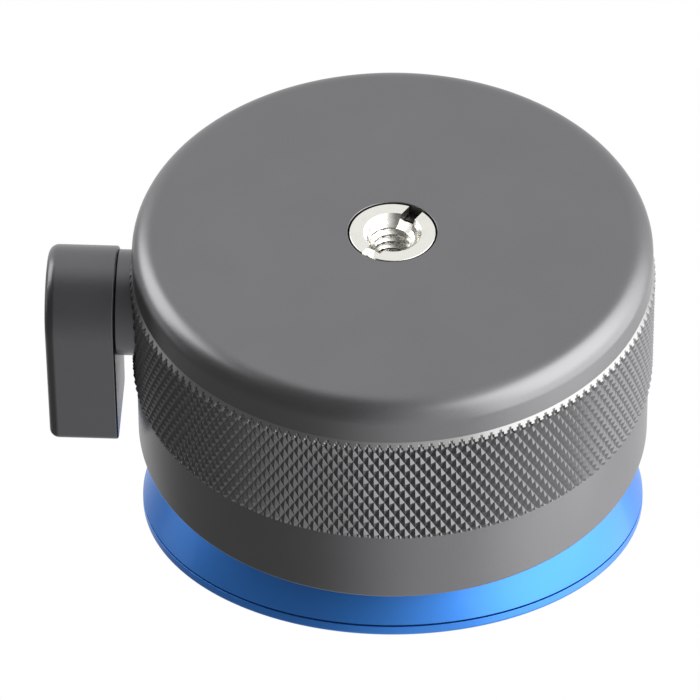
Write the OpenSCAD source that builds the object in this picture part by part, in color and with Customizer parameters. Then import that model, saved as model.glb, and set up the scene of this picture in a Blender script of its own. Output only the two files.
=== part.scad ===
// Half-ball levelling base for a photographic tripod.
// Origin: centre of the flat base face. +Z points to the platform, +X to the clamping lever.
// All sizes are in millimetres. The model shows the clamp locked and the platform leaning.

/* [Housing] */
// Diameter over the crests of the knurled grip band
grip_d = 74; // [72:0.5:80]
// How far the smooth band next to the base lies under the crests
base_band_step = 0.4; // [0.2:0.1:0.8]
// How far the smooth band next to the mouth lies under the crests
mouth_band_step = 0.6; // [0.2:0.1:0.9]
// Height of the housing
housing_h = 36.1; // [35:0.1:40]
// Height at which the knurled band begins
grip_z = 6.5; // [5:0.1:8]
// Width of the knurled band
grip_w = 18.2; // [14:0.1:20]
// Radius of the rounded edge of the base
base_round = 3.3; // [1:0.1:4]
// Radius of the rounded edge of the mouth
mouth_round = 0.5; // [0.3:0.1:0.8]
// Thickness of the floor
floor_t = 9.2; // [8.8:0.1:9.4]
// Thickness of the wall around the cavity
cavity_wall = 10; // [9:0.25:10.5]
// Depth of the dished recess in the top face
top_dish = 0.9; // [0.5:0.1:1.2]
// Width of the flat land around that recess
top_land = 3.4; // [2:0.1:5]

/* [Tripod thread] */
// Outer diameter of the coarse tripod thread
coarse_thread_d = 9.52; // [9.4:0.01:9.6]
// Outer diameter of the fine tripod thread
fine_thread_d = 6.4; // [6.3:0.05:6.5]
// Diameter of the insert's flange
insert_flange_d = 12.1; // [11.5:0.1:12.5]
// Thickness of the insert's flange
insert_flange_t = 1.3; // [1:0.1:1.4]
// Diameter of the recess at the mouth of the insert
insert_recess_d = 8.2; // [7.8:0.1:8.6]
// Depth of that recess
insert_recess_t = 0.5; // [0.3:0.1:1]
// Width of the coin slot
coin_slot_w = 2.2; // [1.6:0.1:2.6]
// Depth of the coin slot
coin_slot_t = 1.7; // [1.2:0.1:2]
// Heading of the coin slot
coin_slot_heading = 121.5; // [0:0.5:180]
// Diameter of the thread bush
thread_bush_d = 15; // [14:0.1:15.6]

/* [Lever and cam shaft] */
// Height of the cam shaft above the base
lever_z = 14.7; // [14.5:0.05:15.2]
// Diameter of the neck between the lever and the housing
neck_d = 15; // [13:0.1:15.4]
// Gap between the knurled band and the lever
lever_gap = 1.9; // [1:0.1:4]
// Diameter of the lever's hub
hub_d = 16; // [15:0.1:20]
// Thickness of the lever along the shaft
lever_t = 9.9; // [8:0.1:12]
// Length of the blade from the shaft
blade_len = 21.1; // [18:0.1:30]
// Width of the blade at its end
blade_end_w = 13.3; // [9:0.1:14]
// Radius of the lever's rounded edges
lever_round = 1.4; // [0.5:0.1:2]
// Diameter of the plain shaft
shaft_d = 8; // [7:0.1:8.4]
// Diameter of the two eccentrics
eccentric_d = 11; // [10:0.1:11.2]
// Throw of the eccentrics
cam_throw = 0.6; // [0.3:0.05:0.7]
// Width of each eccentric
eccentric_w = 4.8; // [4:0.1:5]

/* [Clamp] */
// Diameter of the tie bolt
bolt_d = 6; // [5:0.1:6]
// Diameter of the tie bolt's shoulder
shoulder_d = 7.6; // [7:0.1:7.6]
// Thickness of the yoke's crosshead
crosshead_t = 4; // [3:0.1:4.4]
// Thickness of the bar under each eccentric
yoke_bar_t = 2.6; // [2:0.1:2.8]
// Distance of each guide pin from the middle
guide_y = 13; // [12.5:0.1:14]
// Diameter of the guide pins
guide_d = 3; // [2.5:0.1:3]
// Wire diameter of the return springs
spring_wire_d = 0.8; // [0.6:0.05:0.9]
// Half angle of the clamp shoe seen from the ball's centre
shoe_angle = 43; // [41:0.5:43.5]
// Thickness of the slip liner
liner_t = 1; // [0.8:0.1:1.2]

/* [Ball and platform] */
// Diameter of the half ball
ball_d = 77; // [76:0.25:80]
// Thickness of the half ball's wall
ball_wall = 4; // [3.5:0.1:4.4]
// Diameter of the hole at the pole of the half ball
pole_hole_d = 28.4; // [28.2:0.1:29]
// Diameter at which the ball crosses the top of the seat ring
seat_d = 51.1; // [50:0.1:52]
// Distance of the ball's rim from the ball's centre
joint_drop = 13.1; // [11:0.1:14]
// Height of the platform's rim above the joint line
rim_t = 1.8; // [1.4:0.1:2.5]
// Depth of the platform's plug below the joint line
plug_t = 2.8; // [2.4:0.1:3]
// Lean of the platform
lean = 10.8; // [0:0.1:15]
// Heading of the axis about which the platform leans
lean_heading = -2.5; // [-90:0.5:90]
// Length of the camera stud above the platform
stud_len = 9.5; // [6:0.1:12]
// Inner diameter of the friction pad
pad_in_d = 19.2; // [17:0.1:22]
// Gap between the friction pad and the spirit level
pad_gap = 1; // [0.5:0.1:3]
// Thickness of the friction pad
pad_t = 1; // [0.8:0.1:1.4]
// Outer diameter of the spirit level
level_d = 11; // [9:0.1:11]
// Heading of the spirit level on the platform
level_heading = -38; // [-180:1:180]

/* [Hidden] */
$fn = 96;
eps = 0.01;
// Cuts run past the faces they open by this much
over = 1;
// Radial clearances: a running shaft, a press seat and two curved faces that pass each other
run_gap = 0.03;
pass_gap = 0.3;
cap_gap = 0.15;

// Housing
grip_r = grip_d / 2;
base_band_r = grip_r - base_band_step;
mouth_band_r = grip_r - mouth_band_step;
cavity_r = grip_r - cavity_wall;
land_in_r = mouth_band_r - top_land;
shelf_t = 2;

// Ball, measured from its centre along the platform's axis
ball_r = ball_d / 2;
ball_in_r = ball_r - ball_wall;
platform_r = sqrt(pow(ball_r, 2) - pow(joint_drop, 2));
joint_z = -joint_drop;
plug_z = joint_z - plug_t;
platform_z = joint_z + rim_t;
rim_step = 3.7;
plug_r = platform_r - rim_step;
plug_gap = 0.02;
pole_hole_r = pole_hole_d / 2;
rim_gap = 0.25;
rim_round = 0.6;

// Seat ring
seat_top_z = housing_h - top_dish;
seat_ring_t = 4.2;
seat_ring_w = 4.7;
seat_ring_side = 0.1;
seat_ring_in_r = seat_d / 2 - seat_ring_w / 2;
seat_ring_out_r = seat_d / 2 + seat_ring_w / 2;
seat_bore_r = seat_ring_in_r - pass_gap;
seat_r = ball_r + pass_gap;
ball_z = seat_top_z + sqrt(pow(seat_r, 2) - pow(seat_d / 2, 2));

// Slip liner and clamp shoe, spheres about the ball's centre
liner_out_r = ball_in_r - pass_gap;
liner_in_r = liner_out_r - liner_t;
liner_angle = 52;
shoe_r = liner_in_r - pass_gap;
liner_hole_r = pole_hole_r + 0.2;
shoe_top_z = ball_z - shoe_r * cos(shoe_angle);
shoe_face_step = 1.2;
shoe_face_r = shoulder_d / 2 + shoe_face_step;
shoe_face_z = ball_z - shoe_r + 0.5;
shoe_web_t = 5;
shoe_pocket_z = shoe_face_z + shoe_web_t;
shoe_pocket_r = 9.5;

// Cam shaft along X
neck_r = neck_d / 2;
hub_r = hub_d / 2;
lever_in_x = grip_r + lever_gap;
lever_out_x = lever_in_x + lever_t;
outer_bush_t = 1.5;
bush_lip = 0.4;
outer_bush_x = cavity_r - bush_lip;
outer_bush_w = 7;
outer_bush_r = neck_r + outer_bush_t;
inner_bush_t = 2;
inner_bush_w = 6.4;
inner_bush_r = shaft_d / 2 + inner_bush_t;
inner_bush_x = -(cavity_r - bush_lip);
shaft_end_x = inner_bush_x - inner_bush_w;
shaft_end_gap = 0.2;
spigot_r = 5;
spigot_l = 5;
spigot_gap = 0.03;
clip_t = 1;
clip_gap = 0.05;
clip_side_gap = 0.2;
clip_x = outer_bush_x - clip_side_gap - clip_t;
clip_groove_depth = 0.9;
clip_in_r = neck_r - clip_groove_depth;
clip_out_r = neck_r + 1.5;
clip_slit_w = 3;
clip_room = 0.4;
neck_end_t = 1.6;
neck_in_x = clip_x - neck_end_t;
neck_bore_gap = 0.1;
seal_d = 1.1;
seal_side_gap = 0.1;
seal_wall = 0.75;
seal_x = outer_bush_x + outer_bush_w + seal_wall + seal_d / 2;
seal_r = neck_r + clip_gap + seal_d / 2;
screw_thread_r = 2;
screw_head_r = 3.5;
screw_head_t = 2.6;
screw_gap = 0.2;
screw_recess_t = 3;
screw_len = 14;
screw_end_room = 1;
screw_socket_af = 3;
screw_socket_t = 1.6;
screw_head_x = lever_out_x - screw_recess_t;
screw_end_x = screw_head_x + screw_head_t - screw_len;

// Yoke: its windows are flat above and below the eccentrics
eccentric_r = eccentric_d / 2;
leg_side_gap = 0.4;
bush_side_wall = 0.7;
eccentric_x = thread_bush_d / 2 + bush_side_wall + leg_side_gap + eccentric_w / 2;
window_gap = 0.08;
window_side_gap = 0.3;
locked_drop = cam_throw * sin(45);
window_mid_z = lever_z - locked_drop;
window_h = eccentric_d + 2 * window_gap;
window_half_w = eccentric_r + cam_throw + window_side_gap;
leg_wall = 1.8;
leg_half_w = window_half_w + leg_wall;
window_bottom_z = window_mid_z - window_h / 2;
crosshead_z = window_mid_z + window_h / 2;
crosshead_top_z = crosshead_z + crosshead_t;
leg_bottom_z = window_bottom_z - yoke_bar_t;
leg_foot_room = 0.9;
pocket_z = leg_bottom_z - leg_foot_room;
guide_r = guide_d / 2;
guide_gap = 0.06;
guide_ear_wall = 1.5;
guide_ear_y = guide_y + guide_r + guide_ear_wall;
guide_ear_half_w = guide_r + 2 * guide_ear_wall;
guide_depth = 5.7;
guide_foot_z = floor_t - guide_depth;
guide_end_room = 1.6;
guide_top_z = crosshead_top_z + guide_end_room;
spring_coils = 5;
spring_sides = 6;
spring_steps = 12;
spring_guide_gap = 0.4;
spring_end_gap = 0.05;
spring_mean_r = guide_r + spring_guide_gap + spring_wire_d / 2;

// Tie bolt, washers and nut, stacked on the shoe
bolt_r = bolt_d / 2;
bolt_foot_gap = 0.2;
bolt_hole_gap = 0.1;
bolt_end_l = 0.8;
washer_t = 0.7;
washer_cone = 0.3;
washer_gap = 0.1;
washer_w = 3.2;
washer_r = bolt_r + washer_w;
washer_stack = 2 * (washer_t + washer_cone);
nut_wall = 2;
nut_af = bolt_d + 2 * nut_wall;
nut_t = 4.4;
bolt_top_z = shoe_pocket_z + washer_stack + nut_t + bolt_end_l;

// Thread bush and reducing insert
insert_inset = 0.1;
insert_under_gap = 0.2;
insert_side_gap = 0.25;
base_skin = insert_inset + insert_flange_t + insert_under_gap;
thread_bush_r = thread_bush_d / 2;
coarse_r = coarse_thread_d / 2;
bush_cap_t = 1;
insert_end_gap = 0.3;
insert_end_z = floor_t - bush_cap_t - insert_end_gap;

// Camera stud, friction pad and level, from the platform face downwards
stud_shank_step = 0.44;
stud_flange_step = 2.3;
stud_shank_r = coarse_r + stud_shank_step;
stud_flange_r = stud_shank_r + stud_flange_step;
stud_flange_t = 1.6;
stud_chamfer = 0.9;
lock_pin_r = 0.9;
lock_pin_l = 2.6;
lock_pin_at = (stud_shank_r + stud_flange_r) / 2;
pad_recess_t = 0.6;
level_cup_h = 3.6;
level_cup_wall = 0.8;
level_floor_t = 0.5;
level_window_t = 0.9;
level_wall = 1;
level_r = plug_r - level_wall - level_d / 2;
pad_side_gap = 0.05;
pad_in_r = pad_in_d / 2;
pad_out_r = level_r - level_d / 2 - pad_gap;
bubble_r = 1.5;
bubble_foot_r = 1.05;
bubble_t = 0.7;
bubble_at = 1.6;

// A cylinder along +X, from x = x0 to x = x1
module x_rod(r, x0, x1) {
    translate([x0, 0, 0]) rotate([0, 90, 0]) cylinder(r = r, h = x1 - x0);
}

// Places children on the cam shaft's axis
module on_shaft() {
    translate([0, 0, lever_z]) children();
}

// A ring about the Z axis, from z = z0 to z = z1
module ring(r_out, r_in, z0, z1) {
    translate([0, 0, z0]) difference() {
        cylinder(r = r_out, h = z1 - z0);
        translate([0, 0, -over]) cylinder(r = r_in, h = z1 - z0 + 2 * over);
    }
}

// Places children about the ball's centre, upright
module at_ball() {
    translate([0, 0, ball_z]) children();
}

// Places children about the ball's centre, on the leaning axis of the platform
module on_lean() {
    at_ball() rotate([0, 0, lean_heading]) rotate([lean, 0, 0]) children();
}

// Half outline of a disc whose lower edge is rounded
module round_foot_outline(r, h, round_r) {
    square([r - round_r, h]);
    translate([0, round_r]) square([r, h - round_r]);
    translate([r - round_r, round_r]) circle(r = round_r);
}

// Half outline of a disc whose upper edge is rounded
module round_top_outline(r, h, round_r) {
    square([r, h - round_r]);
    square([r - round_r, h]);
    translate([r - round_r, h - round_r]) circle(r = round_r);
}

// Half outline of the housing before it is bored
module housing_outline() {
    intersection() {
        union() {
            round_foot_outline(base_band_r, grip_z + grip_w / 2, base_round);
            translate([0, base_round]) round_top_outline(mouth_band_r, housing_h - base_round, mouth_round);
            translate([0, grip_z]) square([grip_r, grip_w]);
        }
        square([grip_r, housing_h]);
    }
}

module housing() {
    color("dimgray") difference() {
        rotate_extrude() housing_outline();
        // Cavity, mouth, seat pocket and dished top
        translate([0, 0, floor_t])
            cylinder(r = cavity_r, h = seat_top_z - seat_ring_t - shelf_t - floor_t);
        translate([0, 0, floor_t]) cylinder(r = seat_bore_r, h = housing_h);
        translate([0, 0, seat_top_z - seat_ring_t])
            cylinder(r = seat_ring_out_r + seat_ring_side, h = housing_h);
        translate([0, 0, seat_top_z]) cylinder(r = land_in_r, h = housing_h);
        // Counterbore of the insert's flange and seat of the thread bush
        translate([0, 0, -over]) cylinder(r = insert_flange_d / 2 + insert_side_gap, h = floor_t);
        translate([0, 0, base_skin]) cylinder(r = thread_bush_r, h = floor_t);
        // Bores of the cam shaft
        on_shaft() {
            x_rod(neck_r + neck_bore_gap, outer_bush_x, lever_in_x);
            x_rod(outer_bush_r, outer_bush_x - over, outer_bush_x + outer_bush_w);
            x_rod(clip_out_r + clip_room, neck_in_x - clip_room, cavity_r);
            x_rod(
                seal_r + seal_d / 2 + clip_gap,
                seal_x - seal_d / 2 - seal_side_gap,
                seal_x + seal_d / 2 + seal_side_gap
            );
            x_rod(inner_bush_r, shaft_end_x - shaft_end_gap, inner_bush_x + over);
        }
        // Pockets of the yoke's legs
        for (side = [-1, 1])
            translate([side * eccentric_x, 0, (pocket_z + housing_h / 2) / 2])
                cube([
                    eccentric_w + 2 * leg_side_gap,
                    2 * (leg_half_w + leg_side_gap),
                    housing_h / 2 - pocket_z
                ], center = true);
        // Seats of the guide pins
        for (side = [-1, 1])
            translate([0, side * guide_y, guide_foot_z]) cylinder(r = guide_r, h = floor_t);
    }
}

module thread_bush() {
    color("lightgray") difference() {
        translate([0, 0, base_skin]) cylinder(r = thread_bush_r, h = floor_t - base_skin);
        translate([0, 0, -over]) cylinder(r = coarse_r, h = floor_t - bush_cap_t + over);
    }
}

module reducing_insert() {
    color("gainsboro") difference() {
        union() {
            translate([0, 0, insert_inset]) cylinder(r = insert_flange_d / 2, h = insert_flange_t);
            translate([0, 0, insert_inset])
                cylinder(r = coarse_r - run_gap, h = insert_end_z - insert_inset);
        }
        translate([0, 0, -over]) cylinder(r = fine_thread_d / 2, h = floor_t + 2 * over);
        translate([0, 0, -over])
            cylinder(r = insert_recess_d / 2, h = insert_recess_t + insert_inset + over);
        rotate([0, 0, coin_slot_heading])
            translate([0, 0, (coin_slot_t + insert_inset - over) / 2]) cube([
                insert_flange_d + over,
                coin_slot_w,
                coin_slot_t + insert_inset + over
            ], center = true);
    }
}

module outer_bearing_bush() {
    color("peru") on_shaft() difference() {
        x_rod(outer_bush_r, outer_bush_x, outer_bush_x + outer_bush_w);
        x_rod(neck_r + run_gap, outer_bush_x - over, outer_bush_x + outer_bush_w + over);
    }
}

module inner_bearing_bush() {
    color("peru") on_shaft() difference() {
        x_rod(inner_bush_r, inner_bush_x - inner_bush_w, inner_bush_x);
        x_rod(shaft_d / 2 + run_gap, inner_bush_x - inner_bush_w - over, inner_bush_x + over);
    }
}

module neck_seal() {
    color("black") on_shaft() translate([seal_x, 0, 0]) rotate([0, 90, 0])
        rotate_extrude() translate([seal_r, 0]) circle(r = seal_d / 2);
}

module guide_pins() {
    color("silver") for (side = [-1, 1])
        translate([0, side * guide_y, guide_foot_z]) cylinder(r = guide_r, h = guide_top_z - guide_foot_z);
}

// Points of one ring of the spring's wire, at step i of its helix
function spring_ring(i, rise) = [
    for (k = [0 : spring_sides - 1])
        let (
            turn = 360 * i / spring_steps,
            around = 360 * k / spring_sides,
            r = spring_mean_r + spring_wire_d / 2 * cos(around)
        )
        [r * cos(turn), r * sin(turn), rise * i + spring_wire_d / 2 * sin(around)]
];

// A helical spring that stands on z = 0
module coil_spring(length) {
    steps = spring_coils * spring_steps;
    rise = (length - spring_wire_d) / steps;
    points = [for (i = [0 : steps], p = spring_ring(i, rise)) p];
    sides = [
        for (i = [0 : steps - 1], k = [0 : spring_sides - 1])
            let (
                a = i * spring_sides + k,
                b = i * spring_sides + (k + 1) % spring_sides
            )
            each [[a, b, b + spring_sides], [a, b + spring_sides, a + spring_sides]]
    ];
    first_cap = [for (k = [1 : spring_sides - 2]) [0, k + 1, k]];
    last = steps * spring_sides;
    last_cap = [for (k = [1 : spring_sides - 2]) [last, last + k, last + k + 1]];
    translate([0, 0, spring_wire_d / 2]) polyhedron(points, concat(sides, first_cap, last_cap));
}

module return_springs() {
    color("silver") for (side = [-1, 1])
        translate([0, side * guide_y, floor_t + spring_end_gap])
            coil_spring(crosshead_z - floor_t - 2 * spring_end_gap);
}

// The blade and the hub as one rounded block, its inner face on x = 0
module lever_block() {
    corner_z = blade_len - lever_round;
    corner_y = blade_end_w / 2 - lever_round;
    hull() {
        rotate([0, 90, 0]) rotate_extrude($fn = 64) round_top_outline(hub_r, lever_t, lever_round);
        for (side = [-1, 1], x = [lever_round / 2, lever_t - lever_round])
            translate([x, side * corner_y, corner_z]) sphere(r = lever_round, $fn = 32);
        for (side = [-1, 1])
            translate([0, side * corner_y, corner_z]) rotate([0, 90, 0])
                cylinder(r = lever_round, h = lever_round, $fn = 32);
    }
}

module lever() {
    color("dimgray") on_shaft() translate([lever_in_x, 0, 0]) difference() {
        intersection() {
            lever_block();
            translate([0, -blade_len, -blade_len]) cube([lever_t, 2 * blade_len, 3 * blade_len]);
        }
        x_rod(spigot_r + spigot_gap, -over, spigot_l + spigot_gap);
        x_rod(screw_thread_r + screw_gap, 0, lever_t);
        x_rod(screw_head_r + screw_gap, lever_t - screw_recess_t, lever_t + over);
    }
}

module cam_shaft() {
    color("dimgray") on_shaft() difference() {
        union() {
            x_rod(neck_r, neck_in_x, lever_in_x);
            x_rod(spigot_r, lever_in_x - eps, lever_in_x + spigot_l);
            x_rod(shaft_d / 2, shaft_end_x, neck_in_x + eps);
            for (side = [-1, 1])
                translate([side * eccentric_x - eccentric_w / 2, locked_drop, -locked_drop])
                    x_rod(eccentric_r, 0, eccentric_w);
        }
        x_rod(screw_thread_r, screw_end_x - screw_end_room, lever_out_x);
        difference() {
            x_rod(neck_r + over, clip_x - clip_gap, clip_x + clip_t + clip_gap);
            x_rod(clip_in_r - clip_gap, clip_x - over, clip_x + clip_t + over);
        }
    }
}

module lever_screw() {
    color("silver") on_shaft() difference() {
        union() {
            x_rod(screw_head_r, screw_head_x, screw_head_x + screw_head_t);
            x_rod(screw_thread_r, screw_end_x, screw_head_x + eps);
        }
        translate([screw_head_x + screw_head_t - screw_socket_t, 0, 0]) rotate([0, 90, 0])
            cylinder(d = screw_socket_af / cos(30), h = screw_head_t, $fn = 6);
    }
}

module shaft_clip() {
    color("silver") on_shaft() difference() {
        x_rod(clip_out_r, clip_x, clip_x + clip_t);
        x_rod(clip_in_r, clip_x - over, clip_x + clip_t + over);
        translate([clip_x - over, -clip_slit_w / 2, 0])
            cube([clip_t + 2 * over, clip_slit_w, clip_out_r + over]);
    }
}

module tie_yoke() {
    color("slategray") difference() {
        union() {
            // Crosshead with its two ears for the guide pins
            translate([0, 0, crosshead_z + crosshead_t / 2]) {
                cube([2 * eccentric_x + eccentric_w, 2 * leg_half_w, crosshead_t], center = true);
                cube([2 * guide_ear_half_w, 2 * guide_ear_y, crosshead_t], center = true);
            }
            // Legs that reach around the eccentrics
            for (side = [-1, 1])
                translate([side * eccentric_x - eccentric_w / 2, -leg_half_w, leg_bottom_z])
                    cube([eccentric_w, 2 * leg_half_w, crosshead_z - leg_bottom_z + eps]);
        }
        translate([-eccentric_x - eccentric_w, -window_half_w, window_bottom_z])
            cube([2 * (eccentric_x + eccentric_w), 2 * window_half_w, window_h]);
        translate([0, 0, crosshead_z - over]) cylinder(r = bolt_r, h = crosshead_t + 2 * over);
        for (side = [-1, 1])
            translate([0, side * guide_y, crosshead_z - over])
                cylinder(r = guide_r + guide_gap, h = crosshead_t + 2 * over);
    }
}

module tie_bolt() {
    color("silver") {
        translate([0, 0, crosshead_z + bolt_foot_gap])
            cylinder(r = bolt_r, h = bolt_top_z - crosshead_z - bolt_foot_gap);
        translate([0, 0, crosshead_top_z]) cylinder(d = shoulder_d, h = shoe_face_z - crosshead_top_z);
    }
}

module clamp_shoe() {
    color("lightslategray") difference() {
        intersection() {
            at_ball() sphere(r = shoe_r);
            cylinder(r = shoe_r, h = shoe_top_z);
        }
        cylinder(r = shoe_face_r, h = shoe_face_z);
        cylinder(r = bolt_r + bolt_hole_gap, h = ball_z);
        translate([0, 0, shoe_pocket_z]) cylinder(r = shoe_pocket_r, h = ball_z);
    }
}

// Half outline of a conical washer that rises by washer_cone from its bore to its edge
module washer_outline() {
    polygon([
        [bolt_r + washer_gap, 0],
        [washer_r, washer_cone],
        [washer_r, washer_cone + washer_t],
        [bolt_r + washer_gap, washer_t]
    ]);
}

module spring_washers() {
    color("silver") translate([0, 0, shoe_pocket_z]) {
        translate([0, 0, washer_cone + washer_t]) mirror([0, 0, 1]) rotate_extrude() washer_outline();
        translate([0, 0, washer_cone + washer_t]) rotate_extrude() washer_outline();
    }
}

module tie_nut() {
    color("silver") translate([0, 0, shoe_pocket_z + washer_stack]) difference() {
        cylinder(d = nut_af / cos(30), h = nut_t, $fn = 6);
        translate([0, 0, -over]) cylinder(r = bolt_r, h = nut_t + 2 * over);
    }
}

module seat_ring() {
    color("ivory") difference() {
        ring(seat_ring_out_r, seat_ring_in_r, seat_top_z - seat_ring_t, seat_top_z);
        at_ball() sphere(r = seat_r);
    }
}

module slip_liner() {
    color("ivory") on_lean() difference() {
        intersection() {
            sphere(r = liner_out_r);
            translate([0, 0, -ball_r]) cylinder(r = ball_r, h = ball_r - liner_in_r * cos(liner_angle));
        }
        sphere(r = liner_in_r);
        translate([0, 0, -ball_r]) cylinder(r = liner_hole_r, h = ball_r);
    }
}

module half_ball() {
    color("royalblue") on_lean() difference() {
        intersection() {
            sphere(r = ball_r);
            translate([0, 0, -ball_r]) cylinder(r = ball_r, h = ball_r + joint_z);
        }
        sphere(r = ball_in_r);
        translate([0, 0, -ball_r]) cylinder(r = pole_hole_r, h = ball_r);
        translate([0, 0, plug_z]) cylinder(r = plug_r, h = ball_r);
    }
}

module platform_plate() {
    color("royalblue") on_lean() difference() {
        union() {
            translate([0, 0, joint_z + rim_gap])
                rotate_extrude() round_top_outline(platform_r, rim_t - rim_gap, rim_round);
            translate([0, 0, plug_z]) cylinder(r = plug_r - plug_gap, h = plug_t + rim_t / 2);
        }
        // Hole and flange recess of the stud, and the blind hole of its pin
        translate([0, 0, plug_z - over]) cylinder(r = stud_shank_r, h = plug_t + rim_t + 2 * over);
        translate([0, 0, plug_z - over]) cylinder(r = stud_flange_r, h = stud_flange_t + over);
        translate([lock_pin_at, 0, plug_z - over]) cylinder(r = lock_pin_r, h = lock_pin_l + over);
        // Recess of the friction pad and pocket of the level
        ring(
            pad_out_r + pad_side_gap,
            pad_in_r - pad_side_gap,
            platform_z - pad_recess_t,
            platform_z + over
        );
        rotate([0, 0, level_heading]) translate([level_r, 0, platform_z - level_cup_h])
            cylinder(d = level_d, h = level_cup_h + over);
    }
}

module camera_stud() {
    color("gainsboro") on_lean() difference() {
        union() {
            translate([0, 0, plug_z]) cylinder(r = stud_flange_r, h = stud_flange_t);
            translate([0, 0, plug_z]) cylinder(r = stud_shank_r, h = plug_t + rim_t);
            translate([0, 0, platform_z - eps])
                cylinder(r = coarse_r, h = stud_len - stud_chamfer + eps);
            translate([0, 0, platform_z + stud_len - stud_chamfer - eps])
                cylinder(r1 = coarse_r, r2 = coarse_r - stud_chamfer, h = stud_chamfer);
        }
        translate([lock_pin_at, 0, plug_z - over])
            cylinder(r = lock_pin_r, h = stud_flange_t + 2 * over);
    }
}

module stud_lock_pin() {
    color("silver") on_lean() translate([lock_pin_at, 0, plug_z])
        cylinder(r = lock_pin_r, h = lock_pin_l);
}

module friction_pad() {
    color("black") on_lean()
        ring(pad_out_r, pad_in_r, platform_z - pad_recess_t, platform_z - pad_recess_t + pad_t);
}

// Places children on the level's axis, z = 0 on the underside of its cup
module at_level() {
    on_lean() rotate([0, 0, level_heading]) translate([level_r, 0, platform_z - level_cup_h]) children();
}

// The bubble: a shallow dome that lies against the window, on the high side
module bubble_shape(grow) {
    at_level() rotate([0, 0, 90 - level_heading])
        translate([bubble_at, 0, level_cup_h - level_window_t - bubble_t - grow])
            cylinder(r1 = bubble_foot_r + grow, r2 = bubble_r + grow, h = bubble_t + grow);
}

module level_cup() {
    color("silver") at_level() difference() {
        cylinder(d = level_d, h = level_cup_h);
        translate([0, 0, level_floor_t]) cylinder(r = level_d / 2 - level_cup_wall, h = level_cup_h);
    }
}

module level_fluid() {
    color("yellowgreen", 0.6) difference() {
        at_level() translate([0, 0, level_floor_t])
            cylinder(r = level_d / 2 - level_cup_wall, h = level_cup_h - level_floor_t - level_window_t);
        bubble_shape(eps);
    }
}

module level_bubble() {
    color("white", 0.5) bubble_shape(0);
}

module level_window() {
    color("white", 0.4) at_level() translate([0, 0, level_cup_h - level_window_t])
        cylinder(r = level_d / 2 - level_cup_wall, h = level_window_t);
}

housing();
thread_bush();
reducing_insert();
outer_bearing_bush();
inner_bearing_bush();
neck_seal();
guide_pins();
return_springs();
lever();
cam_shaft();
lever_screw();
shaft_clip();
tie_yoke();
tie_bolt();
clamp_shoe();
spring_washers();
tie_nut();
seat_ring();
slip_liner();
half_ball();
platform_plate();
camera_stud();
stud_lock_pin();
friction_pad();
level_cup();
level_fluid();
level_bubble();
level_window();
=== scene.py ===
"""Levelling base with a half ball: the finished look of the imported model.

Sizes in the classes are millimetres and angles are degrees. Meshes are written in metres, in the
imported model's own frame: base face on z = 0, opening upwards, clamping lever on +X. A size's name
ends in r for a radius, t for a thickness, w for a width, l for a length, x or z for a place along
that axis, and af for a width across flats.
"""
import logging
import math
from dataclasses import dataclass, field
from enum import Enum
from typing import Iterable, Sequence

import bmesh
import bpy
import numpy as np
from mathutils import Matrix


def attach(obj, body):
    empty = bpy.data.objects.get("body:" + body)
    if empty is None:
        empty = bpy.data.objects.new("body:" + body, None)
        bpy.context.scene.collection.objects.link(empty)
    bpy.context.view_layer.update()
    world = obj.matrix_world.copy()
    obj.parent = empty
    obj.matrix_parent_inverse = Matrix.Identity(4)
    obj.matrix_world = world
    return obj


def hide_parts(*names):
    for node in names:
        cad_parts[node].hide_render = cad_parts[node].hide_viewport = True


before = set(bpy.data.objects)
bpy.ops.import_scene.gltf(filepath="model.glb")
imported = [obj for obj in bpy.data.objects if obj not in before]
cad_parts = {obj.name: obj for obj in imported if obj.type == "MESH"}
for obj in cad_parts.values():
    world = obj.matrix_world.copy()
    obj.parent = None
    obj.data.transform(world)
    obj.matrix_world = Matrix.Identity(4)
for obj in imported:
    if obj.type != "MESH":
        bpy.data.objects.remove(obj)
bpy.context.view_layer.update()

LOG = logging.getLogger("levelling_base")
MM = 0.001
TURN = 2 * math.pi
# Height of the cam shaft's axis
SHAFT_Z = 14.7
# Top of the seat ring, and the sphere that the half ball runs on: its radius, and its radius there
SEAT_TOP_Z = 35.2
SEAT_RUN_R = 38.8
SEAT_MOUTH_R = 25.55
# Centre of the half ball, how far the platform leans, and the heading of the display and the lean
BALL_Z = SEAT_TOP_Z + math.sqrt(SEAT_RUN_R**2 - SEAT_MOUTH_R**2)
LEAN = 10.8
HEADING = -2.5
# Radius in millimetres that counts as none: a ring as small as this closes to one point
CLOSED_R = 1e-4
Array = np.ndarray
Piece = bpy.types.Object
Socket = bpy.types.NodeSocket
Colour = tuple[float, float, float]


# ---------------------------------------------------------------- surfaces


@dataclass
class Skin:
    """A surface kept as whole arrays until it becomes a mesh.

    Attributes:
        points: Corner points in millimetres, one row each.
        faces: Four corner numbers for each face.
    """

    points: Array
    faces: Array

    def __add__(self, other: "Skin") -> "Skin":
        """Both surfaces as one."""
        faces = np.vstack([self.faces, other.faces + len(self.points)])
        return Skin(np.vstack([self.points, other.points]), faces)

    def placed(self, turn: Array, shift: Sequence[float]) -> "Skin":
        """The surface turned by a 3 x 3 matrix, then shifted."""
        return Skin(self.points @ turn.T + np.asarray(shift, float), self.faces)


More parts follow.
